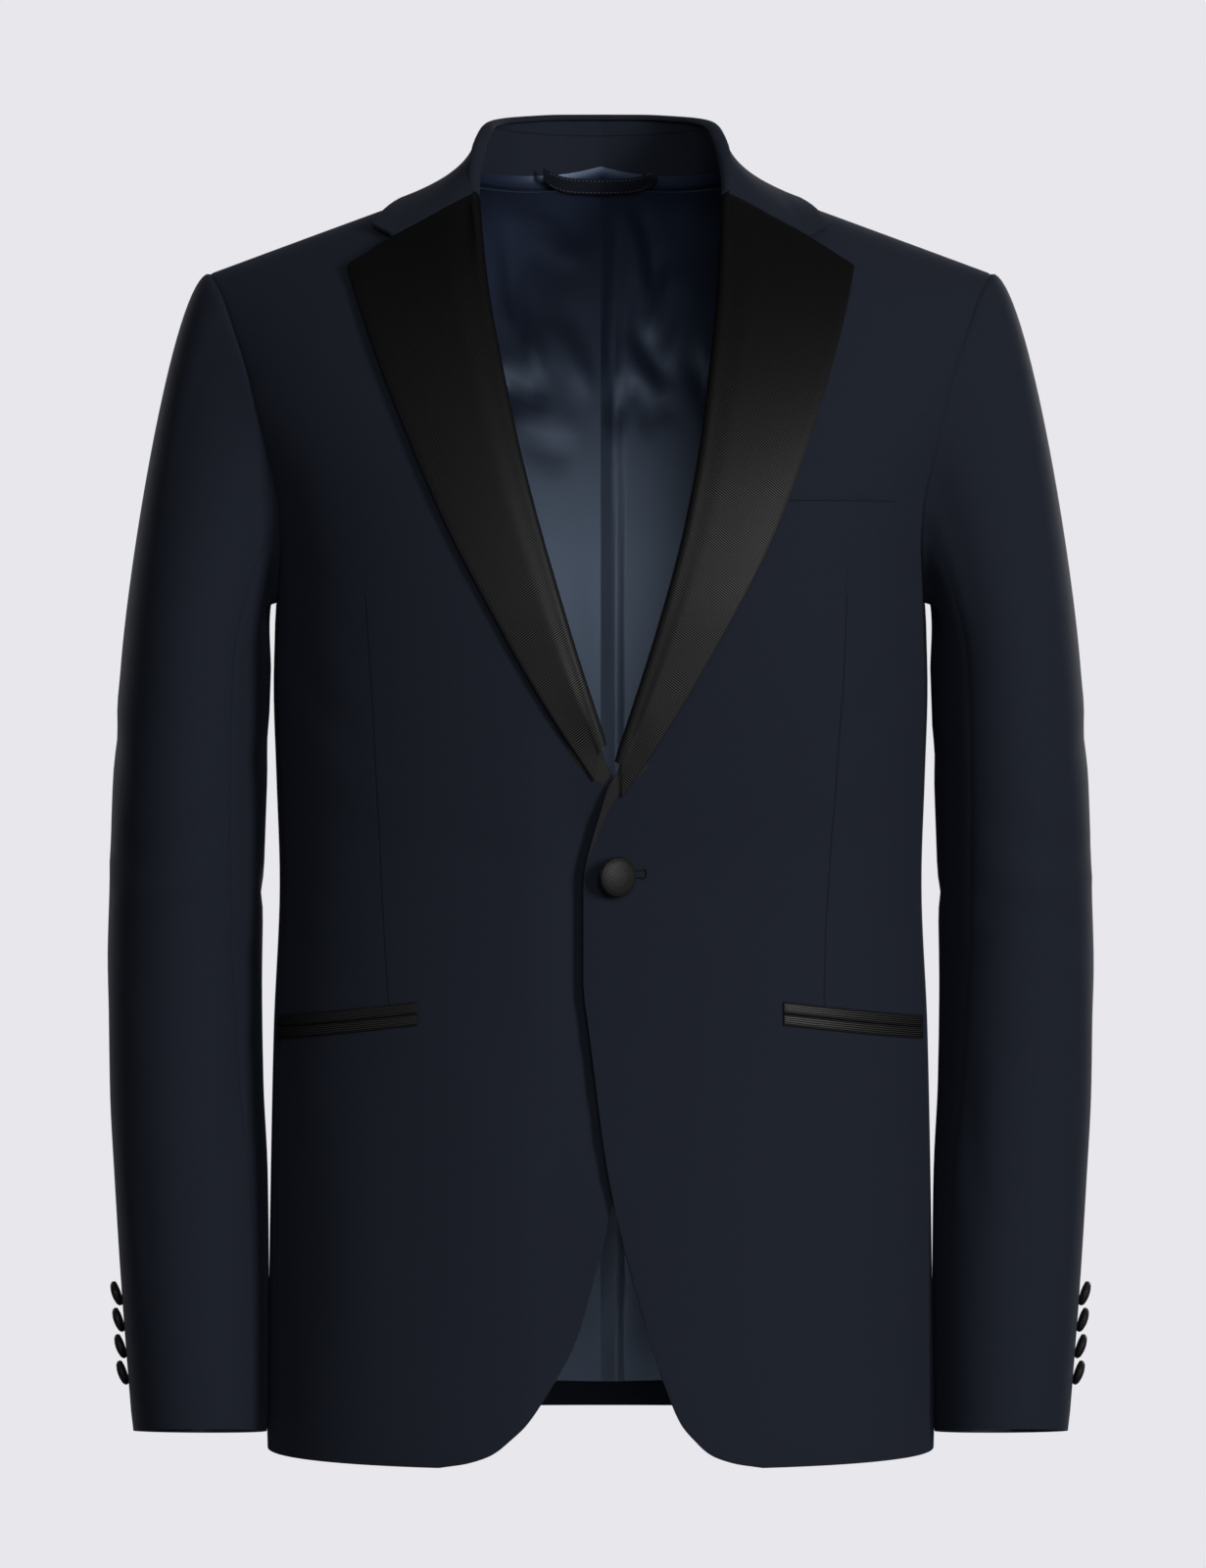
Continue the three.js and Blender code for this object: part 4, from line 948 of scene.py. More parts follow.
def add_group(tree, group, cloth, pitch):
    made = node(tree, "ShaderNodeGroup", node_tree=group)
    tree.links.new(cloth, made.inputs["Cloth"])
    made.inputs["Pitch"].default_value = pitch
    return made


def mix_colour(tree, factor, a, b):
    made = node(tree, "ShaderNodeMix", data_type="RGBA")
    if isinstance(factor, float):
        made.inputs[0].default_value = factor
    else:
        tree.links.new(factor, made.inputs[0])
    for socket, value in ((made.inputs[6], a), (made.inputs[7], b)):
        if isinstance(value, bpy.types.NodeSocket):
            tree.links.new(value, socket)
        else:
            socket.default_value = (*value[:3], 1.0)
    return made.outputs[2]


def scaled(colour, by):
    return tuple(c * by for c in colour[:3])


def add_bump(tree, shader, height, strength, distance):
    bump = node(tree, "ShaderNodeBump")
    bump.inputs["Strength"].default_value = strength
    bump.inputs["Distance"].default_value = distance
    tree.links.new(height, bump.inputs["Height"])
    tree.links.new(bump.outputs[0], shader.inputs["Normal"])


def wool_material(name, colour, pitch, seam=False):
    material, tree, shader, cloth = start_material(
        name, 0.9, Sheen_Weight=0.1, Sheen_Roughness=0.45, Specular_IOR_Level=0.14)
    shader.inputs["Sheen Tint"].default_value = (*scaled(colour, 14), 1.0)
    weave = add_group(tree, groups()["yarns"], cloth, pitch)
    tone = mix_colour(tree, weave.outputs["Fleck"], scaled(colour, 0.55), scaled(colour, 1.5))
    height = weave.outputs["Height"]
    if seam:
        trim = bpy.context.scene.jacket_look.trim
        strip = node(tree, "ShaderNodeAttribute", attribute_name="facing")
        level = node(tree, "ShaderNodeAttribute", attribute_name="rib_line")
        turned = node(tree, "ShaderNodeCombineXYZ")
        tree.links.new(level.outputs["Fac"], turned.inputs["Y"])
        rib = add_group(tree, groups()["ribs"], turned.outputs[0], bpy.context.scene.jacket_look.rib_pitch)
        # Painted highlight and shade on the ribbed facing strip: rib crests take 3.4 times the silk colour
        # and troughs 0.15 times, standing in for light on the rounded ribs
        silk = mix_colour(tree, rib.outputs["Top"], scaled(trim, 0.15), scaled(trim, 3.4))
        beyond = maths(tree, "MULTIPLY", strip.outputs["Fac"], 3.0)
        within = maths(tree, "SUBTRACT", 0.5, beyond, clamp=True)
        tone = mix_colour(tree, within, tone, silk)
        shine = maths(tree, "MULTIPLY", maths(tree, "MULTIPLY", rib.outputs["Top"], within), 0.42)
        tree.links.new(shine, shader.inputs["Coat Weight"])
        shader.inputs["Coat Roughness"].default_value = 0.5
        raised = maths(tree, "MULTIPLY", maths(tree, "MULTIPLY", rib.outputs["Height"], within), 6.0)
        outside = maths(tree, "SUBTRACT", 1.0, within)
        height = maths(tree, "ADD", maths(tree, "MULTIPLY", height, outside), raised)
        read = node(tree, "ShaderNodeAttribute", attribute_name="dart")
        line = node(tree, "ShaderNodeGroup", node_tree=groups()["line"])
        tree.links.new(read.outputs["Fac"], line.inputs["Distance"])
        tone = mix_colour(tree, line.outputs[0], tone, scaled(colour, 0.3))
        height = maths(tree, "SUBTRACT", height, maths(tree, "MULTIPLY", line.outputs[0], 3.0))
    tree.links.new(tone, shader.inputs["Base Color"])
    add_bump(tree, shader, height, 0.35, 0.00012)
    return material


def trim_material(name, colour, pitch):
    material, tree, shader, cloth = start_material(
        name, 0.5, Specular_IOR_Level=0.02, Coat_Roughness=0.5)
    rib = add_group(tree, groups()["ribs"], cloth, pitch)
    # Painted shade: a ramp on height (Object Z) dims the ribs' crests from the middle of the jacket up
    # towards the shoulders, standing in for the upper lapels lying in shade; it dims their coat as well
    coords = node(tree, "ShaderNodeTexCoord")
    split = node(tree, "ShaderNodeSeparateXYZ")
    tree.links.new(coords.outputs["Object"], split.inputs[0])
    fall = node(tree, "ShaderNodeMapRange", interpolation_type="SMOOTHSTEP")
    for key, value in zip(("From Min", "From Max", "To Min", "To Max"), (-0.01, -0.33, 0.2, 1.2)):
        fall.inputs[key].default_value = value
    tree.links.new(split.outputs["Z"], fall.inputs["Value"])
    crest = maths(tree, "MULTIPLY", rib.outputs["Top"], fall.outputs[0])
    # Painted highlight and shade: rib crests take 3.4 times the silk colour and troughs 0.15 times, standing
    # in for light catching the rounded ribs
    tone = mix_colour(tree, crest, scaled(colour, 0.15), scaled(colour, 3.4))
    tree.links.new(tone, shader.inputs["Base Color"])
    tree.links.new(maths(tree, "MULTIPLY", crest, 0.42), shader.inputs["Coat Weight"])
    rough = maths(tree, "ADD", maths(tree, "MULTIPLY", rib.outputs["Fleck"], 0.2), 0.4)
    tree.links.new(rough, shader.inputs["Roughness"])
    add_bump(tree, shader, rib.outputs["Height"], 0.8, 0.00035)
    return material


def satin_material(name, colour, pitch):
    material, tree, shader, cloth = start_material(name, 0.44, Specular_IOR_Level=0.7)
    weave = add_group(tree, groups()["yarns"], cloth, pitch)
    tone = mix_colour(tree, weave.outputs["Fleck"], scaled(colour, 0.85), scaled(colour, 1.15))
    tree.links.new(tone, shader.inputs["Base Color"])
    shader.inputs["Specular Tint"].default_value = (0.58, 0.74, 1.0, 1.0)
    add_bump(tree, shader, weave.outputs["Height"], 0.15, 0.00005)
    return material


def thread_material(name, colour):
    material, tree, shader, _ = start_material(name, 0.6, Specular_IOR_Level=0.4)
    coords = node(tree, "ShaderNodeTexCoord")
    twist = node(tree, "ShaderNodeTexNoise")
    twist.inputs["Scale"].default_value = 1800.0
    tree.links.new(coords.outputs["Object"], twist.inputs["Vector"])
    tone = mix_colour(tree, twist.outputs["Fac"], scaled(colour, 0.5), scaled(colour, 1.6))
    tree.links.new(tone, shader.inputs["Base Color"])
    return material


_kept = {}


def groups():
    if "groups" not in _kept:
        _kept["groups"] = {"yarns": yarns_group(), "ribs": ribs_group(), "line": line_group()}
    return _kept["groups"]


def cloths():
    """The materials, made once from the colours and pitches that the user has set."""
    if "cloths" not in _kept:
        look = bpy.context.scene.jacket_look
        _kept["cloths"] = {
            "wool": wool_material("Navy wool", look.wool, look.yarn_pitch),
            "front": wool_material("Navy wool with darts", look.wool, look.yarn_pitch, seam=True),
            "trim": trim_material("Black ribbed silk", look.trim, look.rib_pitch),
            "satin": satin_material("Navy satin", look.satin, 0.0003),
            "cover": trim_material("Black silk on buttons", look.trim, look.rib_pitch * 0.55),
            "thread": thread_material("Black thread", look.thread),
            "pale": thread_material("Grey thread", scaled(look.thread, 14)),
        }
    return _kept["cloths"]


# Properties that a user would change
class JacketLook(bpy.types.PropertyGroup):
    """Colours and thread sizes."""

    wool: bpy.props.FloatVectorProperty(
        name="Wool", description="Colour of the wool", subtype="COLOR", size=3, min=0, max=1,
        default=(0.0053, 0.0073, 0.0127))
    trim: bpy.props.FloatVectorProperty(
        name="Trim", description="Colour of the ribbed silk", subtype="COLOR", size=3, min=0, max=1,
        default=(0.0042, 0.0042, 0.0044))
    satin: bpy.props.FloatVectorProperty(
        name="Lining", description="Colour of the satin lining", subtype="COLOR", size=3, min=0, max=1,
        default=(0.0080, 0.0120, 0.0245))
    thread: bpy.props.FloatVectorProperty(
        name="Thread", description="Colour of the sewing thread", subtype="COLOR", size=3, min=0, max=1,
        default=(0.0022, 0.0024, 0.0032))
    yarn_pitch: bpy.props.FloatProperty(
        name="Yarn pitch", description="Distance between the wool's yarns", default=0.0007,
        min=0.0002, max=0.005, precision=5, unit="LENGTH")
    rib_pitch: bpy.props.FloatProperty(
        name="Rib pitch", description="Distance between the silk's ribs", default=0.0012,
        min=0.0004, max=0.005, precision=5, unit="LENGTH")
    rib_angle: bpy.props.FloatProperty(
        name="Rib angle", description="Slope of the ribs on the lapels", default=math.radians(38),
        subtype="ANGLE")


class JacketDrape(bpy.types.PropertyGroup):
    """How deep the creases are, and how long the stitches."""

    body: bpy.props.FloatProperty(
        name="Body creases", description="Depth of the creases in the body, as a share", default=0.6,
        min=0, max=2, subtype="FACTOR")
    sleeve: bpy.props.FloatProperty(
        name="Sleeve creases", description="Depth of the creases in the sleeves, as a share", default=0.8,
        min=0, max=2, subtype="FACTOR")
    lining: bpy.props.FloatProperty(
        name="Lining creases", description="Depth of the wrinkles in the lining, as a share", default=1.5,
        min=0, max=2, subtype="FACTOR")
    stitch: bpy.props.FloatProperty(
        name="Stitch length", description="Length of one stitch with its gap", default=0.003,
        min=0.001, max=0.02, precision=4, unit="LENGTH")


def dart_distance(points, name):
    """Signed distance from the dart's line at each point, in millimetres, large beyond its ends."""
    line = np.array(DARTS[name], float)[::-1]
    z = points[..., 2]
    off = points[..., 0] - np.interp(z, line[:, 1], line[:, 0])
    beyond = np.maximum(0, z - line[-1, 1]) + np.maximum(0, line[0, 1] - z)
    return off + np.where(off < 0, -1, 1) * beyond * 0.6


def rib_line(points):
    slope = bpy.context.scene.jacket_look.rib_angle
    return (points[..., 0] * math.sin(slope) + points[..., 2] * math.cos(slope)) * MM


# How far the ribbed facing shows at the lapels' lower ends: levels, and widths from the edge
FACING_SHOWS = {
    "left": ((-404, -398, -374, -366, -356, -345, -338, -330),
             (-1, 0.8, 3.4, 5.2, 12.0, 16.3, 9.0, -1)),
    "right": ((-366, -362, -354, -345, -336, -330, -322),
              (-1, 4.0, 10.8, 16.2, 19.5, 10.0, -1)),
}


def facing_strip(points, name):
    """How far each point lies beyond the ribbed facing that shows at the lapels' lower ends."""
    wide = np.interp(points[..., 2], *FACING_SHOWS[name])
    return points[..., 0] - points[:, :1, 0] - wide


def facing_rule(columns_of_facing, rows_of_hem=0):
    """Only the faces beyond the facing at the front edge and above the hem's turn-up are lined."""
    def rule(rows, columns):
        lined = np.arange(columns)[None, :] >= columns_of_facing
        return lined & (np.arange(rows)[:, None] >= rows_of_hem)
    return rule


def show_as(name):
    return f"cloth_{name}"


class JACKET_OT_camera(bpy.types.Operator):
    """Places the camera level with the middle of the jacket, far in front of it"""

    bl_idname = "jacket.camera"
    bl_label = "Camera"

    def execute(self, context):
        data = bpy.data.cameras.new("Camera")
        data.lens = 136.96
        data.sensor_width = 36.0
        data.sensor_fit = "AUTO"
        data.clip_end = 50.0
        camera = bpy.data.objects.new("Camera", data)
        camera.location = (0.0014, -3.5, -0.3565)
        camera.rotation_euler = (math.pi / 2, 0, 0)
        context.scene.collection.objects.link(camera)
        context.scene.camera = camera
        return {"FINISHED"}


def add_area(name, place, aim, size, energy, colour, spread=math.pi):
    data = bpy.data.lights.new(name, "AREA")
    data.spread = spread
    data.shape = "RECTANGLE"
    data.size, data.size_y = size
    data.energy = energy
    data.color = colour
    light = bpy.data.objects.new(name, data)
    light.location = place
    light.rotation_mode = "QUATERNION"
    light.rotation_quaternion = (Vector(aim) - Vector(place)).to_track_quat("-Z", "Y")
    bpy.context.scene.collection.objects.link(light)
    return light


class JACKET_OT_stage(bpy.types.Operator):
    """Sets up the pale room with its floor, and the soft lights"""

    bl_idname = "jacket.stage"
    bl_label = "Stage"

    def execute(self, context):
        scene = context.scene
        scene.view_settings.view_transform = "Standard"
        scene.view_settings.look = "None"
        world = bpy.data.worlds.new("Pale room")
        world.use_nodes = True
        tree = world.node_tree
        light = tree.nodes["Background"]
        light.inputs["Color"].default_value = (0.80, 0.80, 0.84, 1)
        light.inputs["Strength"].default_value = 0.14
        seen = node(tree, "ShaderNodeBackground")
        seen.inputs["Color"].default_value = PALE
        blend = node(tree, "ShaderNodeMixShader")
        rays = node(tree, "ShaderNodeLightPath")
        tree.links.new(rays.outputs["Is Camera Ray"], blend.inputs[0])
        tree.links.new(light.outputs[0], blend.inputs[1])
        tree.links.new(seen.outputs[0], blend.inputs[2])
        tree.links.new(blend.outputs[0], tree.nodes["World Output"].inputs["Surface"])
        scene.world = world
        turns = np.linspace(0, 2 * math.pi, FLOOR["sides"], endpoint=False)
        around = [(math.cos(t) * FLOOR["radius"], math.sin(t) * FLOOR["radius"]) for t in turns]
        mesh = bpy.data.meshes.new("floor")
        mesh.from_pydata([(x, y, FLOOR["level"]) for x, y in around], [], [list(range(FLOOR["sides"]))])
        material = bpy.data.materials.new("Pale floor")
        material.use_nodes = True
        shader = material.node_tree.nodes["Principled BSDF"]
        shader.inputs["Base Color"].default_value = (0.02, 0.02, 0.02, 1)
        shader.inputs["Roughness"].default_value = 1.0
        shader.inputs["Specular IOR Level"].default_value = 0.0
        shader.inputs["Emission Color"].default_value = PALE
        shader.inputs["Emission Strength"].default_value = 0.985
        mesh.materials.append(material)
        floor = bpy.data.objects.new("floor", mesh)
        floor.visible_diffuse = False
        floor.visible_glossy = False
        scene.collection.objects.link(floor)
        middle = (0, 0, -0.35)
        lights = [
            add_area("key", (2.5, -3.0, 0.25), middle, (0.8, 1.5), 150, (1.0, 0.99, 0.98)),
            add_area("front", (0.35, -3.4, 0.62), middle, (1.0, 1.8), 52, (0.98, 0.99, 1.0)),
            add_area("fill", (-2.8, -2.8, 0.0), middle, (1.8, 2.2), 4.5, (0.95, 0.97, 1.0)),
            add_area("low", (0.1, -3.3, -1.1), (0, 0, -0.74), (0.6, 0.4), 0.07, (0.98, 0.99, 1.0),
                     math.radians(9)),
            add_area("above", (0.3, 0.6, 2.4), middle, (1.6, 1.6), 8, (0.98, 0.99, 1.0)),
            add_area("back_left", (1.7, 3.1, 0.5), middle, (1.4, 1.8), 75, (1.0, 0.99, 0.98)),
            add_area("back_right", (-1.9, 3.0, 0.3), middle, (1.4, 1.8), 40, (0.97, 0.98, 1.0)),
        ]
        return {"FINISHED"}


class JACKET_OT_fronts(bpy.types.Operator):
    """Makes the two fronts, with their darts and their facings"""

    bl_idname = "jacket.fronts"
    bl_label = "Fronts"

    def execute(self, context):
        depth = context.scene.jacket_drape.body
        for name, sign in SIDES:
            p, n = FRONTS[name]
            push = creases(p[..., 0], p[..., 2], BODY_CREASES, sign) * depth
            push *= smooth(-p[..., 2], 30, 130) * smooth(190 - p[..., 0], 0, 25)
            edge = np.linspace(0, 1, p.shape[1])[None, :]
            push *= smooth(edge, 0.0, 0.16)
            if name == "right":
                cover = FRONT_EDGE.read("reach", p[..., 2]) + closing(p[..., 2])
                off = -p[..., 0] - cover
                along = smooth(-p[..., 2], 352, 385) * (1 - smooth(-p[..., 2], 560, 625))
                push -= UNDER_BOW * along * np.exp(-(((off + 2.5) / 8.0) ** 2))
            outer = p + n * push[..., None]
            inner = outer - n * WALL
            extra = {"dart": dart_distance(p, name), "facing": facing_strip(p, name), "rib_line": rib_line(p)}
            piece = make_wall(show_as(f"front_{name}"), outer, inner, sign, cloths()["front"],
                              cloths()["satin"], extra=extra, inner_rule=facing_rule(24, 18))
            settle(piece, f"front_{name}", outer)
        return {"FINISHED"}


class JACKET_OT_sides(bpy.types.Operator):
    """Makes the side panels under the arms"""

    bl_idname = "jacket.sides"
    bl_label = "Side panels"

    def execute(self, context):
        p, n = SIDE_PANEL
        for name, sign in SIDES:
            piece = make_wall(show_as(f"side_{name}"), p, p - n * WALL, sign, cloths()["wool"],
                              cloths()["satin"], inner_rule=facing_rule(0, 3))
            settle(piece, f"side_{name}", p)
        return {"FINISHED"}


class JACKET_OT_backs(bpy.types.Operator):
    """Makes the two halves of the back"""

    bl_idname = "jacket.backs"
    bl_label = "Back"

    def execute(self, context):
        depth = context.scene.jacket_drape.body
        p, n = BACK_PANEL
        for name, sign in SIDES:
            push = creases(p[..., 0], p[..., 2], BACK_CREASES, sign) * depth * 1.7
            push *= smooth(-p[..., 2], 20, 90) * smooth(p[..., 0], 1, 22)
            push *= smooth(np.linspace(1, 0, p.shape[1])[None, :], 0.0, 0.16)
            push = np.maximum(push, -0.45)
            outer = p + n * push[..., None]
            piece = make_wall(show_as(f"back_{name}"), outer, outer - n * WALL, sign, cloths()["wool"],
                              cloths()["satin"], inner_rule=facing_rule(0, 3))
            settle(piece, f"back_{name}", outer)
        return {"FINISHED"}


class JACKET_OT_sleeves(bpy.types.Operator):
    """Makes the top and under sleeves"""

    bl_idname = "jacket.sleeves"
    bl_label = "Sleeves"

    def execute(self, context):
        depth = context.scene.jacket_drape.sleeve
        for name, sign in SIDES:
            grid, n = sleeve_ring(name)
            around = np.linalg.norm(np.roll(grid, -1, axis=1) - grid, axis=-1).mean(axis=0)
            u = np.broadcast_to(np.concatenate([[0], np.cumsum(around)[:-1]]), grid.shape[:2])
            push = creases(u, grid[..., 2], SLEEVE_CREASES, sign) * depth
            beside = smooth(grid[..., 0], 196, 226)
            push = np.where(push > 0, push * beside, push)
            push = push * smooth(-grid[..., 2], 130, 260)
            grid = grid + n * push[..., None]
            whole, normal = (np.concatenate([a, a[:, :1]], axis=1) for a in (grid, n))
            cut = TOP_COLUMNS * FINE
            for part, p, m in (("top", whole[:, :cut + 1], normal[:, :cut + 1]),
                               ("under", whole[:, cut:], normal[:, cut:])):
                outer = p.copy()
                outer[:, 0] += unit(p[:, 1] - p[:, 0]) * SEAM / 2
                outer[:, -1] += unit(p[:, -2] - p[:, -1]) * SEAM / 2
                outer[0] += unit(p[0] - p[1]) * SEAM * 5 * smooth(-p[0, :, 2], 70, 140)[:, None]
                node_name = f"{part}_sleeve_{name}"
                inner = outer - m * SLEEVE_WALL
                inner[0] += unit(inner[0] - inner[1]) * SEAM * 4
                piece = make_wall(show_as(node_name), outer, inner, sign, cloths()["wool"], cloths()["satin"])
                settle(piece, node_name, outer)
        return {"FINISHED"}


class JACKET_OT_lapels(bpy.types.Operator):
    """Makes the notched lapels, with ribs that run down and outwards"""

    bl_idname = "jacket.lapels"
    bl_label = "Lapels"

    def execute(self, context):
        slope = context.scene.jacket_look.rib_angle
        for name, sign in SIDES:
            outer, inner = lapel_grids(name, sign)
            x, z = outer[..., 0] * MM, outer[..., 2] * MM
            uv = np.stack([x * math.cos(slope) - z * math.sin(slope),
                           x * math.sin(slope) + z * math.cos(slope)], axis=-1)
            piece = make_wall(show_as(f"lapel_{name}"), outer, inner, sign, cloths()["trim"], uv=uv)
            settle(piece, f"lapel_{name}", outer)
        return {"FINISHED"}


def in_lined_foot(rows, columns):
    """Which faces of the stand's inner side are covered by the lining."""
    return np.arange(columns)[None, :] + np.zeros((rows, 1)) < LINED_FOOT


class JACKET_OT_collar(bpy.types.Operator):
    """Makes the collar's fall and its stand"""

    bl_idname = "jacket.collar"
    bl_label = "Collar"

    def execute(self, context):
        for name, grids, held in (("collar_fall", collar_grids(), "folded"),
                                  ("collar_stand", stand_grids(), "stretched")):
            outer, inner = grids
            away = inner[..., 2] - 30.0
            far = np.full(away.shape, 9.0)
            extra = {"dart": away if name == "collar_stand" else far, "facing": far, "rib_line": far}
            inside = cloths()["satin"] if name == "collar_stand" else None
            piece = make_wall(show_as(name), outer, inner, 1, cloths()["front"], inside, flat_uv(outer, True),
                              extra=extra, inner_rule=in_lined_foot, both=True)
            settle(piece, name, outer)
        return {"FINISHED"}


class JACKET_OT_lining(bpy.types.Operator):
    """Makes the satin lining of the back, with a pleat beside its middle seam"""

    bl_idname = "jacket.lining"
    bl_label = "Back lining"

    def execute(self, context):
        depth = context.scene.jacket_drape.lining
        p, n = BACK_PANEL
        x = p[0, :, 0]
        rise = LINING_RISE + 2.5 * np.sin(x / 31.0 + 0.6) - 2.0 * np.exp(-((x - 20) / 30) ** 2)
        share = ((rise - (p[1, :, 2] - p[0, :, 2])) / (p[2, :, 2] - p[1, :, 2]))[:, None]
        p, n = (np.concatenate([mix(a[1], a[2], share)[None], a[3:]]) for a in (p, n))
        for name, sign in SIDES:
            x, z = p[..., 0], p[..., 2]
            push = creases(x, z, LINING_CREASES[name], sign) * depth
            push *= smooth(x, 0.5, 6) * smooth(-z, 2, 22) * smooth(z - HEM_FRONT, 10, 60)
            inward = np.maximum(0, LINING_EASE - push)
            if name == "left":
                opens = np.clip(x / PLEAT["wide"], 0, 1)
                closes = 1 - smooth(x, PLEAT["wide"], PLEAT["wide"] + PLEAT["fall"])
                inward = inward + PLEAT["deep"] * smooth(-z, 50, 150) * opens * closes
            outer = p - n * (WALL + LINING_GAP + inward[..., None])
            inner = outer - n * LINING_WALL
            piece = make_wall(show_as(f"lining_back_{name}"), outer, inner, sign, cloths()["satin"], rim=0.2)
            settle(piece, f"lining_back_{name}", outer)
        return {"FINISHED"}


def strip_grids(sign, size, base, tall, slope):
    """A padded strip on a front, with rounded long edges."""
    across = np.linspace(0, 1, 61)
    up = np.linspace(0, 1, 9)
    x = np.broadcast_to(mix(size["inner"], size["outer"], across), (9, 61))
    z = (base + tall * up)[:, None] + slope * across
    p, n = front_point(sign, x, z)
    round_off = (np.abs(2 * up - 1) ** 6 * size["wall"] * 0.45)[:, None, None]
    return p + n * (size["gap"] + size["wall"] - round_off), p + n * size["gap"]


class JACKET_OT_pockets(bpy.types.Operator):
    """Makes the breast pocket's welt and the ribbed lips of the hip pockets"""

    bl_idname = "jacket.pockets"
    bl_label = "Pockets"

    def execute(self, context):
        outer, inner = strip_grids(1, WELT, WELT["bottom"], WELT["top"] - WELT["bottom"], WELT["rise"])
        piece = make_wall(show_as("chest_welt"), outer, inner, 1, cloths()["wool"], rim=0.3)
        settle(piece, "chest_welt", outer)
        for name, sign in SIDES:
            high = JET["top"] - JET["tall"]
            low = high - JET["between"] - JET["tall"]
            for part, base in (("upper", high), ("lower", low)):
                outer, inner = strip_grids(sign, JET, base, JET["tall"], -JET["fall"])
                jet = f"jet_{part}_{name}"
                piece = make_wall(show_as(jet), outer, inner, sign, cloths()["trim"], rim=0.2)
                settle(piece, jet, outer)
        return {"FINISHED"}


def loop_grid():
    t = np.linspace(0, 1, 61)
    across = np.linspace(-1, 1, 9)[:, None]
    x = np.broadcast_to(mix(-LOOP["half"], LOOP["half"], t), (9, 61))
    shape = 1 - (1 - np.minimum(1, np.maximum(np.sin(math.pi * t), 0) / 0.8)) ** 2
    z = LOOP["ends"] + LOOP["dip"] * shape * 2 + across * LOOP["wide"] / 2
    p, n = body_at(np.abs(x), np.minimum(z, ridge(x) - 12), True)
    inside = LINING_GAP + LINING_WALL + WALL + LOOP_GAP + LOOP["bow"] * shape
    inside = inside + LOOP_LEAN * smooth(z, -8, 5)
    y = p[..., 1] - np.sign(n[..., 1]) * inside
    return np.stack([x, y, np.broadcast_to(z, x.shape)], axis=-1)


def stitch_tree():
    """Stitches along a line: short threads set out at even steps and laid along it."""
    tree = bpy.data.node_groups.new("Stitches", "GeometryNodeTree")
    face = tree.interface
    face.new_socket("Geometry", in_out="INPUT", socket_type="NodeSocketGeometry")
    sockets = {}
    for key, kind, default in (("Step", "NodeSocketFloat", 0.003), ("Length", "NodeSocketFloat", 0.002),
                               ("Thread", "NodeSocketFloat", 0.0004), ("Turn", "NodeSocketFloat", 0.0)):
        sockets[key] = face.new_socket(key, in_out="INPUT", socket_type=kind)
        sockets[key].default_value = default
    sockets["Material"] = face.new_socket("Material", in_out="INPUT", socket_type="NodeSocketMaterial")
    face.new_socket("Geometry", in_out="OUTPUT", socket_type="NodeSocketGeometry")
    give, take = tree.nodes.new("NodeGroupInput"), tree.nodes.new("NodeGroupOutput")
    curve = node(tree, "GeometryNodeMeshToCurve")
    even = node(tree, "GeometryNodeResampleCurve", mode="LENGTH")
    thread = node(tree, "GeometryNodeMeshUVSphere")
    thread.inputs["Segments"].default_value = 8
    thread.inputs["Rings"].default_value = 6
    thread.inputs["Radius"].default_value = 0.5
    place = node(tree, "GeometryNodeInstanceOnPoints")
    tangent = node(tree, "GeometryNodeInputTangent")
    align = node(tree, "FunctionNodeAlignRotationToVector", axis="X")
    spin = node(tree, "FunctionNodeRotateRotation", rotation_space="LOCAL")
    angles = node(tree, "ShaderNodeCombineXYZ")
    size = node(tree, "ShaderNodeCombineXYZ")
    real = node(tree, "GeometryNodeRealizeInstances")
    paint = node(tree, "GeometryNodeSetMaterial")
    links = tree.links.new
    links(give.outputs["Geometry"], curve.inputs["Mesh"])
    links(curve.outputs[0], even.inputs["Curve"])
    links(give.outputs["Step"], even.inputs["Length"])
    links(even.outputs[0], place.inputs["Points"])
    links(thread.outputs["Mesh"], place.inputs["Instance"])
    links(tangent.outputs[0], align.inputs["Vector"])
    links(align.outputs[0], spin.inputs["Rotation"])
    links(give.outputs["Turn"], angles.inputs["Z"])
    to_turn = node(tree, "FunctionNodeEulerToRotation")
    links(angles.outputs[0], to_turn.inputs[0])
    links(to_turn.outputs[0], spin.inputs["Rotate By"])
    links(spin.outputs[0], place.inputs["Rotation"])
    links(give.outputs["Length"], size.inputs["X"])
    links(give.outputs["Thread"], size.inputs["Y"])
    links(give.outputs["Thread"], size.inputs["Z"])
    links(size.outputs[0], place.inputs["Scale"])
    links(place.outputs[0], real.inputs[0])
    links(real.outputs[0], paint.inputs["Geometry"])
    links(give.outputs["Material"], paint.inputs["Material"])
    links(paint.outputs[0], take.inputs[0])
    return tree, {key: socket.identifier for key, socket in sockets.items()}


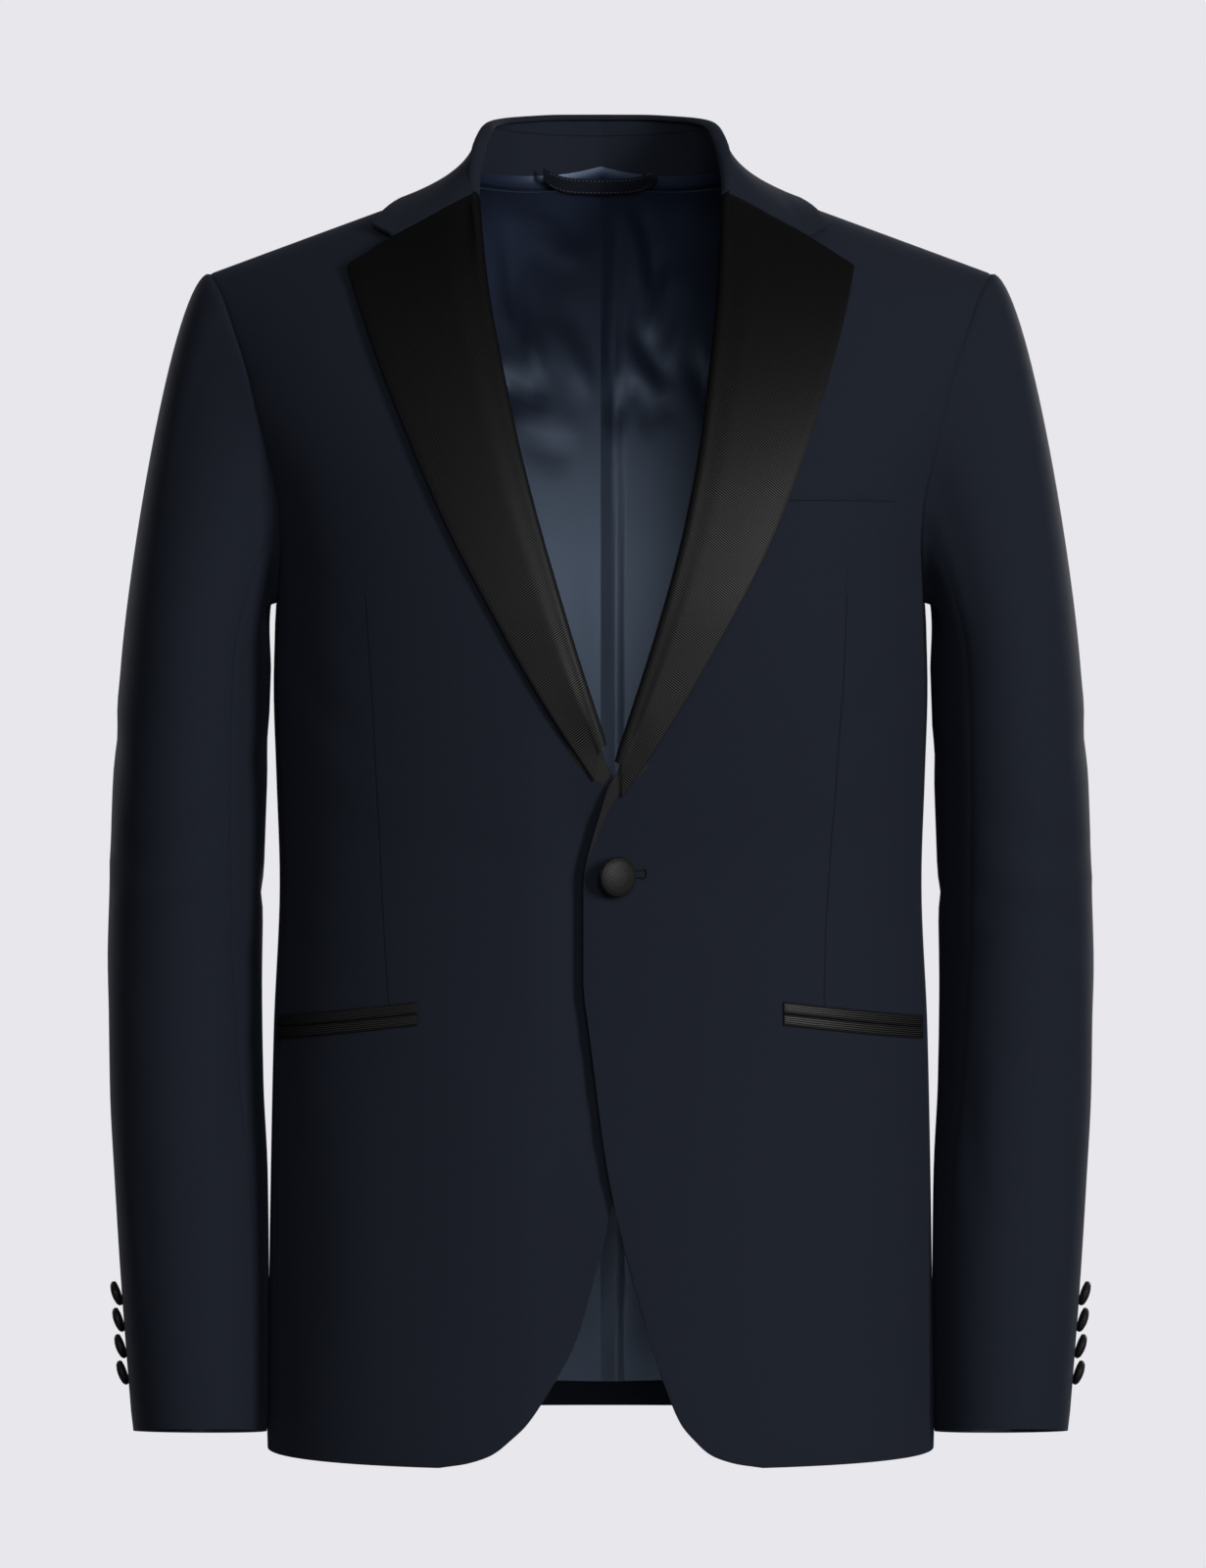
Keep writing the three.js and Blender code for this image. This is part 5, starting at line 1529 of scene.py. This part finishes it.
def stitch_line(name, tree, ids, points, slot_name, finish, **values):
    path = bpy.data.meshes.new(f"{name}_path")
    edges = [(i, i + 1) for i in range(len(points) - 1)]
    path.from_pydata([tuple(p) for p in np.array(points) * MM], edges, [])
    guide = bpy.data.objects.new(f"{name}_path", path)
    bpy.context.scene.collection.objects.link(guide)
    modifier = guide.modifiers.new("Stitches", "NODES")
    modifier.node_group = tree
    for key, value in values.items():
        modifier[ids[key]] = value
    modifier[ids["Material"]] = cloths()[finish]
    bpy.context.view_layer.update()
    depsgraph = bpy.context.evaluated_depsgraph_get()
    solid = bpy.data.meshes.new_from_object(guide.evaluated_get(depsgraph))
    if not solid.uv_layers:
        solid.uv_layers.new(name="cloth")
    solid.polygons.foreach_set("use_smooth", [True] * len(solid.polygons))
    piece = bpy.data.objects.new(name, solid)
    bpy.data.objects.remove(guide)
    bpy.context.scene.collection.objects.link(piece)
    if not len(solid.polygons):
        raise RuntimeError(f"{name} came out with no stitches")
    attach(piece, BODY)
    return piece


class JACKET_OT_loop(bpy.types.Operator):
    """Makes the hanger loop inside the neck, with its stitching"""

    bl_idname = "jacket.loop"
    bl_label = "Hanger loop"

    def execute(self, context):
        outer = loop_grid()
        inner = outer - np.array([0, LOOP["wall"], 0.0])
        piece = make_wall(show_as("hanger_loop"), outer, inner, 1, cloths()["wool"], rim=0.3)
        tree, ids = stitch_tree()
        step = context.scene.jacket_drape.stitch
        for i, row in enumerate((1, 7)):
            line = inner[row, 4:-4] - np.array([0, 0.15, 0])
            stitch_line(f"loop_stitches_{i + 1}", tree, ids, line, "satin", "pale", Step=step * 0.8,
                        Length=step * 0.5, Thread=0.0005)
        settle(piece, "hanger_loop", outer)
        return {"FINISHED"}


class JACKET_OT_lining_seam(bpy.types.Operator):
    """Stitches the middle seam of the lining"""

    bl_idname = "jacket.lining_seam"
    bl_label = "Lining seam"

    def execute(self, context):
        tree, ids = stitch_tree()
        rows = BACK_PANEL[0][3:-3, 0]
        inside = WALL + LINING_GAP + LINING_WALL + 1.5
        line = np.stack([rows[:, 0] * 0 + 0.4, rows[:, 1] - inside, rows[:, 2]], axis=-1)
        step = context.scene.jacket_drape.stitch
        stitch_line("lining_stitches", tree, ids, line, "satin", "thread", Step=step * 1.3, Length=step * 0.7,
                    Thread=0.0005)
        return {"FINISHED"}


class JACKET_OT_buttonhole(bpy.types.Operator):
    """Works the buttonhole on the left front"""

    bl_idname = "jacket.buttonhole"
    bl_label = "Buttonhole"

    def execute(self, context):
        tree, ids = stitch_tree()
        far, near, half = 26.5, 9.0, 2.0
        x = [near, far - 3, far - 1, far, far - 1, far - 3, near]
        z = [half, half, half * 1.5, 0, -half * 1.5, -half, -half]
        at = np.linspace(0, len(x) - 1, 60)
        xs = np.interp(at, range(len(x)), x)
        zs = FRONT_BUTTON["z"] + 1.5 + np.interp(at, range(len(z)), z)
        p, n = front_point(1, xs, zs)
        stitch_line("buttonhole_stitches", tree, ids, p + n * 0.3, "wool", "thread",
                    Step=0.0009, Length=0.0028, Thread=0.0009, Turn=math.pi / 2)
        return {"FINISHED"}


def button_profile(radius, tall):
    """A domed covered button in section, from the middle of its back to that of its face."""
    rim = tall * 0.42
    rows = [(0, 0), (radius * 0.72, 0), (radius - rim * 0.3, rim * 0.25), (radius, tall * 0.5),
            (radius - rim * 0.35, tall * 0.8), (radius * 0.78, tall * 1.0),
            (radius * 0.45, tall * 1.18), (0, tall * 1.27)]
    at = np.linspace(0, len(rows) - 1, 29)
    r = np.interp(at, range(len(rows)), [row[0] for row in rows])
    h = np.interp(at, range(len(rows)), [row[1] for row in rows])
    return r, h


def make_button(name, r, h, around, place, axis, ribs_turn, finish):
    turn = np.linspace(0, 2 * math.pi, around, endpoint=False)
    rings = [np.stack([a * np.cos(turn), a * np.sin(turn), np.full(around, b)], axis=-1) for a, b in
             zip(r[1:-1], h[1:-1])]
    points = np.vstack([[(0, 0, h[0])], *rings, [(0, 0, h[-1])]])
    faces = []
    last = len(points) - 1
    for j in range(around):
        k = (j + 1) % around
        faces.append((0, 1 + k, 1 + j))
        for i in range(len(rings) - 1):
            a, b = 1 + i * around, 1 + (i + 1) * around
            faces.append((a + j, a + k, b + k, b + j))
        faces.append((last, last - around + j, last - around + k))
    uv_of = np.stack([points[:, 0] * math.cos(ribs_turn) + points[:, 1] * math.sin(ribs_turn),
                      points[:, 1] * math.cos(ribs_turn) - points[:, 0] * math.sin(ribs_turn)], axis=-1) * MM
    spin = Vector((0, 0, 1)).rotation_difference(Vector(axis)).to_matrix()
    placed = np.array([spin @ Vector(p) for p in points]) + np.array(place)
    mesh = bpy.data.meshes.new(name)
    mesh.from_pydata((placed * MM).tolist(), [], faces)
    layer = mesh.uv_layers.new(name="cloth")
    corners = np.zeros(len(mesh.loops), int)
    mesh.loops.foreach_get("vertex_index", corners)
    layer.data.foreach_set("uv", uv_of[corners].ravel())
    mesh.polygons.foreach_set("use_smooth", [True] * len(mesh.polygons))
    mesh.materials.append(finish)
    made = bpy.data.objects.new(name, mesh)
    bpy.context.scene.collection.objects.link(made)
    return made


class JACKET_OT_buttons(bpy.types.Operator):
    """Makes the covered buttons: one on the front and four on each cuff"""

    bl_idname = "jacket.buttons"
    bl_label = "Buttons"

    def execute(self, context):
        size = FRONT_BUTTON
        p, n = front_point(1, size["x"], size["z"])
        r, h = button_profile(size["radius"], size["tall"])
        r = np.concatenate([[0, size["shank"], size["shank"]], r[1:]])
        h = np.concatenate([[0, 0, size["stand"]], h[1:] + size["stand"]])
        axis = Matrix.Rotation(math.radians(size["turn"]), 3, "Z") @ Vector(n)
        piece = make_button(show_as("front_button"), r, h, 64, p + n * 1.0, axis, math.radians(102),
                            cloths()["cover"])
        self.settle_button(piece, "front_button")
        size = CUFF_BUTTON
        r, h = button_profile(size["radius"], size["tall"])
        angle, tilt = math.radians(size["angle"]), math.radians(size["tilt"])
        for name, sign in SIDES:
            for i in range(BUTTONS_PER_CUFF):
                z = size["first"] - size["pitch"] * i
                around = sleeve_point(angle + 0.01, z) - sleeve_point(angle - 0.01, z)
                up = sleeve_point(angle, z + 1) - sleeve_point(angle, z - 1)
                normal = unit(np.cross(up, around))
                axis = np.array(Matrix.Rotation(tilt, 3, "Y") @ Vector(normal))
                lift = 0.15 + size["radius"] * 0.85 * math.sin(tilt)
                place = sleeve_point(angle, z) + normal * lift
                flip = np.array([sign, 1.0, 1.0])
                node_name = f"cuff_button_{name}_{i + 1}"
                piece = make_button(show_as(node_name), r, h, 40, place * flip, axis * flip,
                                    0.4 * i, cloths()["cover"])
                self.settle_button(piece, node_name)
        return {"FINISHED"}

    def settle_button(self, piece, node_name):
        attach(piece, BODY)
        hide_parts(node_name)


OPERATORS = (JACKET_OT_camera, JACKET_OT_stage, JACKET_OT_fronts, JACKET_OT_sides, JACKET_OT_backs,
             JACKET_OT_sleeves, JACKET_OT_lapels, JACKET_OT_collar, JACKET_OT_lining,
             JACKET_OT_lining_seam, JACKET_OT_pockets, JACKET_OT_loop, JACKET_OT_buttonhole,
             JACKET_OT_buttons)


class JACKET_PT_panel(bpy.types.Panel):
    bl_idname = "JACKET_PT_panel"
    bl_label = "Tuxedo jacket"
    bl_space_type = "VIEW_3D"
    bl_region_type = "UI"
    bl_category = "Jacket"

    def draw(self, context):
        for group in (context.scene.jacket_look, context.scene.jacket_drape):
            for key in group.bl_rna.properties.keys():
                if key not in ("rna_type", "name"):
                    self.layout.prop(group, key)
        for made in OPERATORS:
            self.layout.operator(made.bl_idname)


CLASSES = (JacketLook, JacketDrape, *OPERATORS, JACKET_PT_panel)


def register():
    for made in CLASSES:
        bpy.utils.register_class(made)
    bpy.types.Scene.jacket_look = bpy.props.PointerProperty(type=JacketLook)
    bpy.types.Scene.jacket_drape = bpy.props.PointerProperty(type=JacketDrape)


def unregister():
    del bpy.types.Scene.jacket_drape
    del bpy.types.Scene.jacket_look
    for made in reversed(CLASSES):
        bpy.utils.unregister_class(made)


def main():
    register()
    for made in OPERATORS:
        group, action = made.bl_idname.split(".")
        getattr(getattr(bpy.ops, group), action)()


if __name__ == "__main__":
    main()
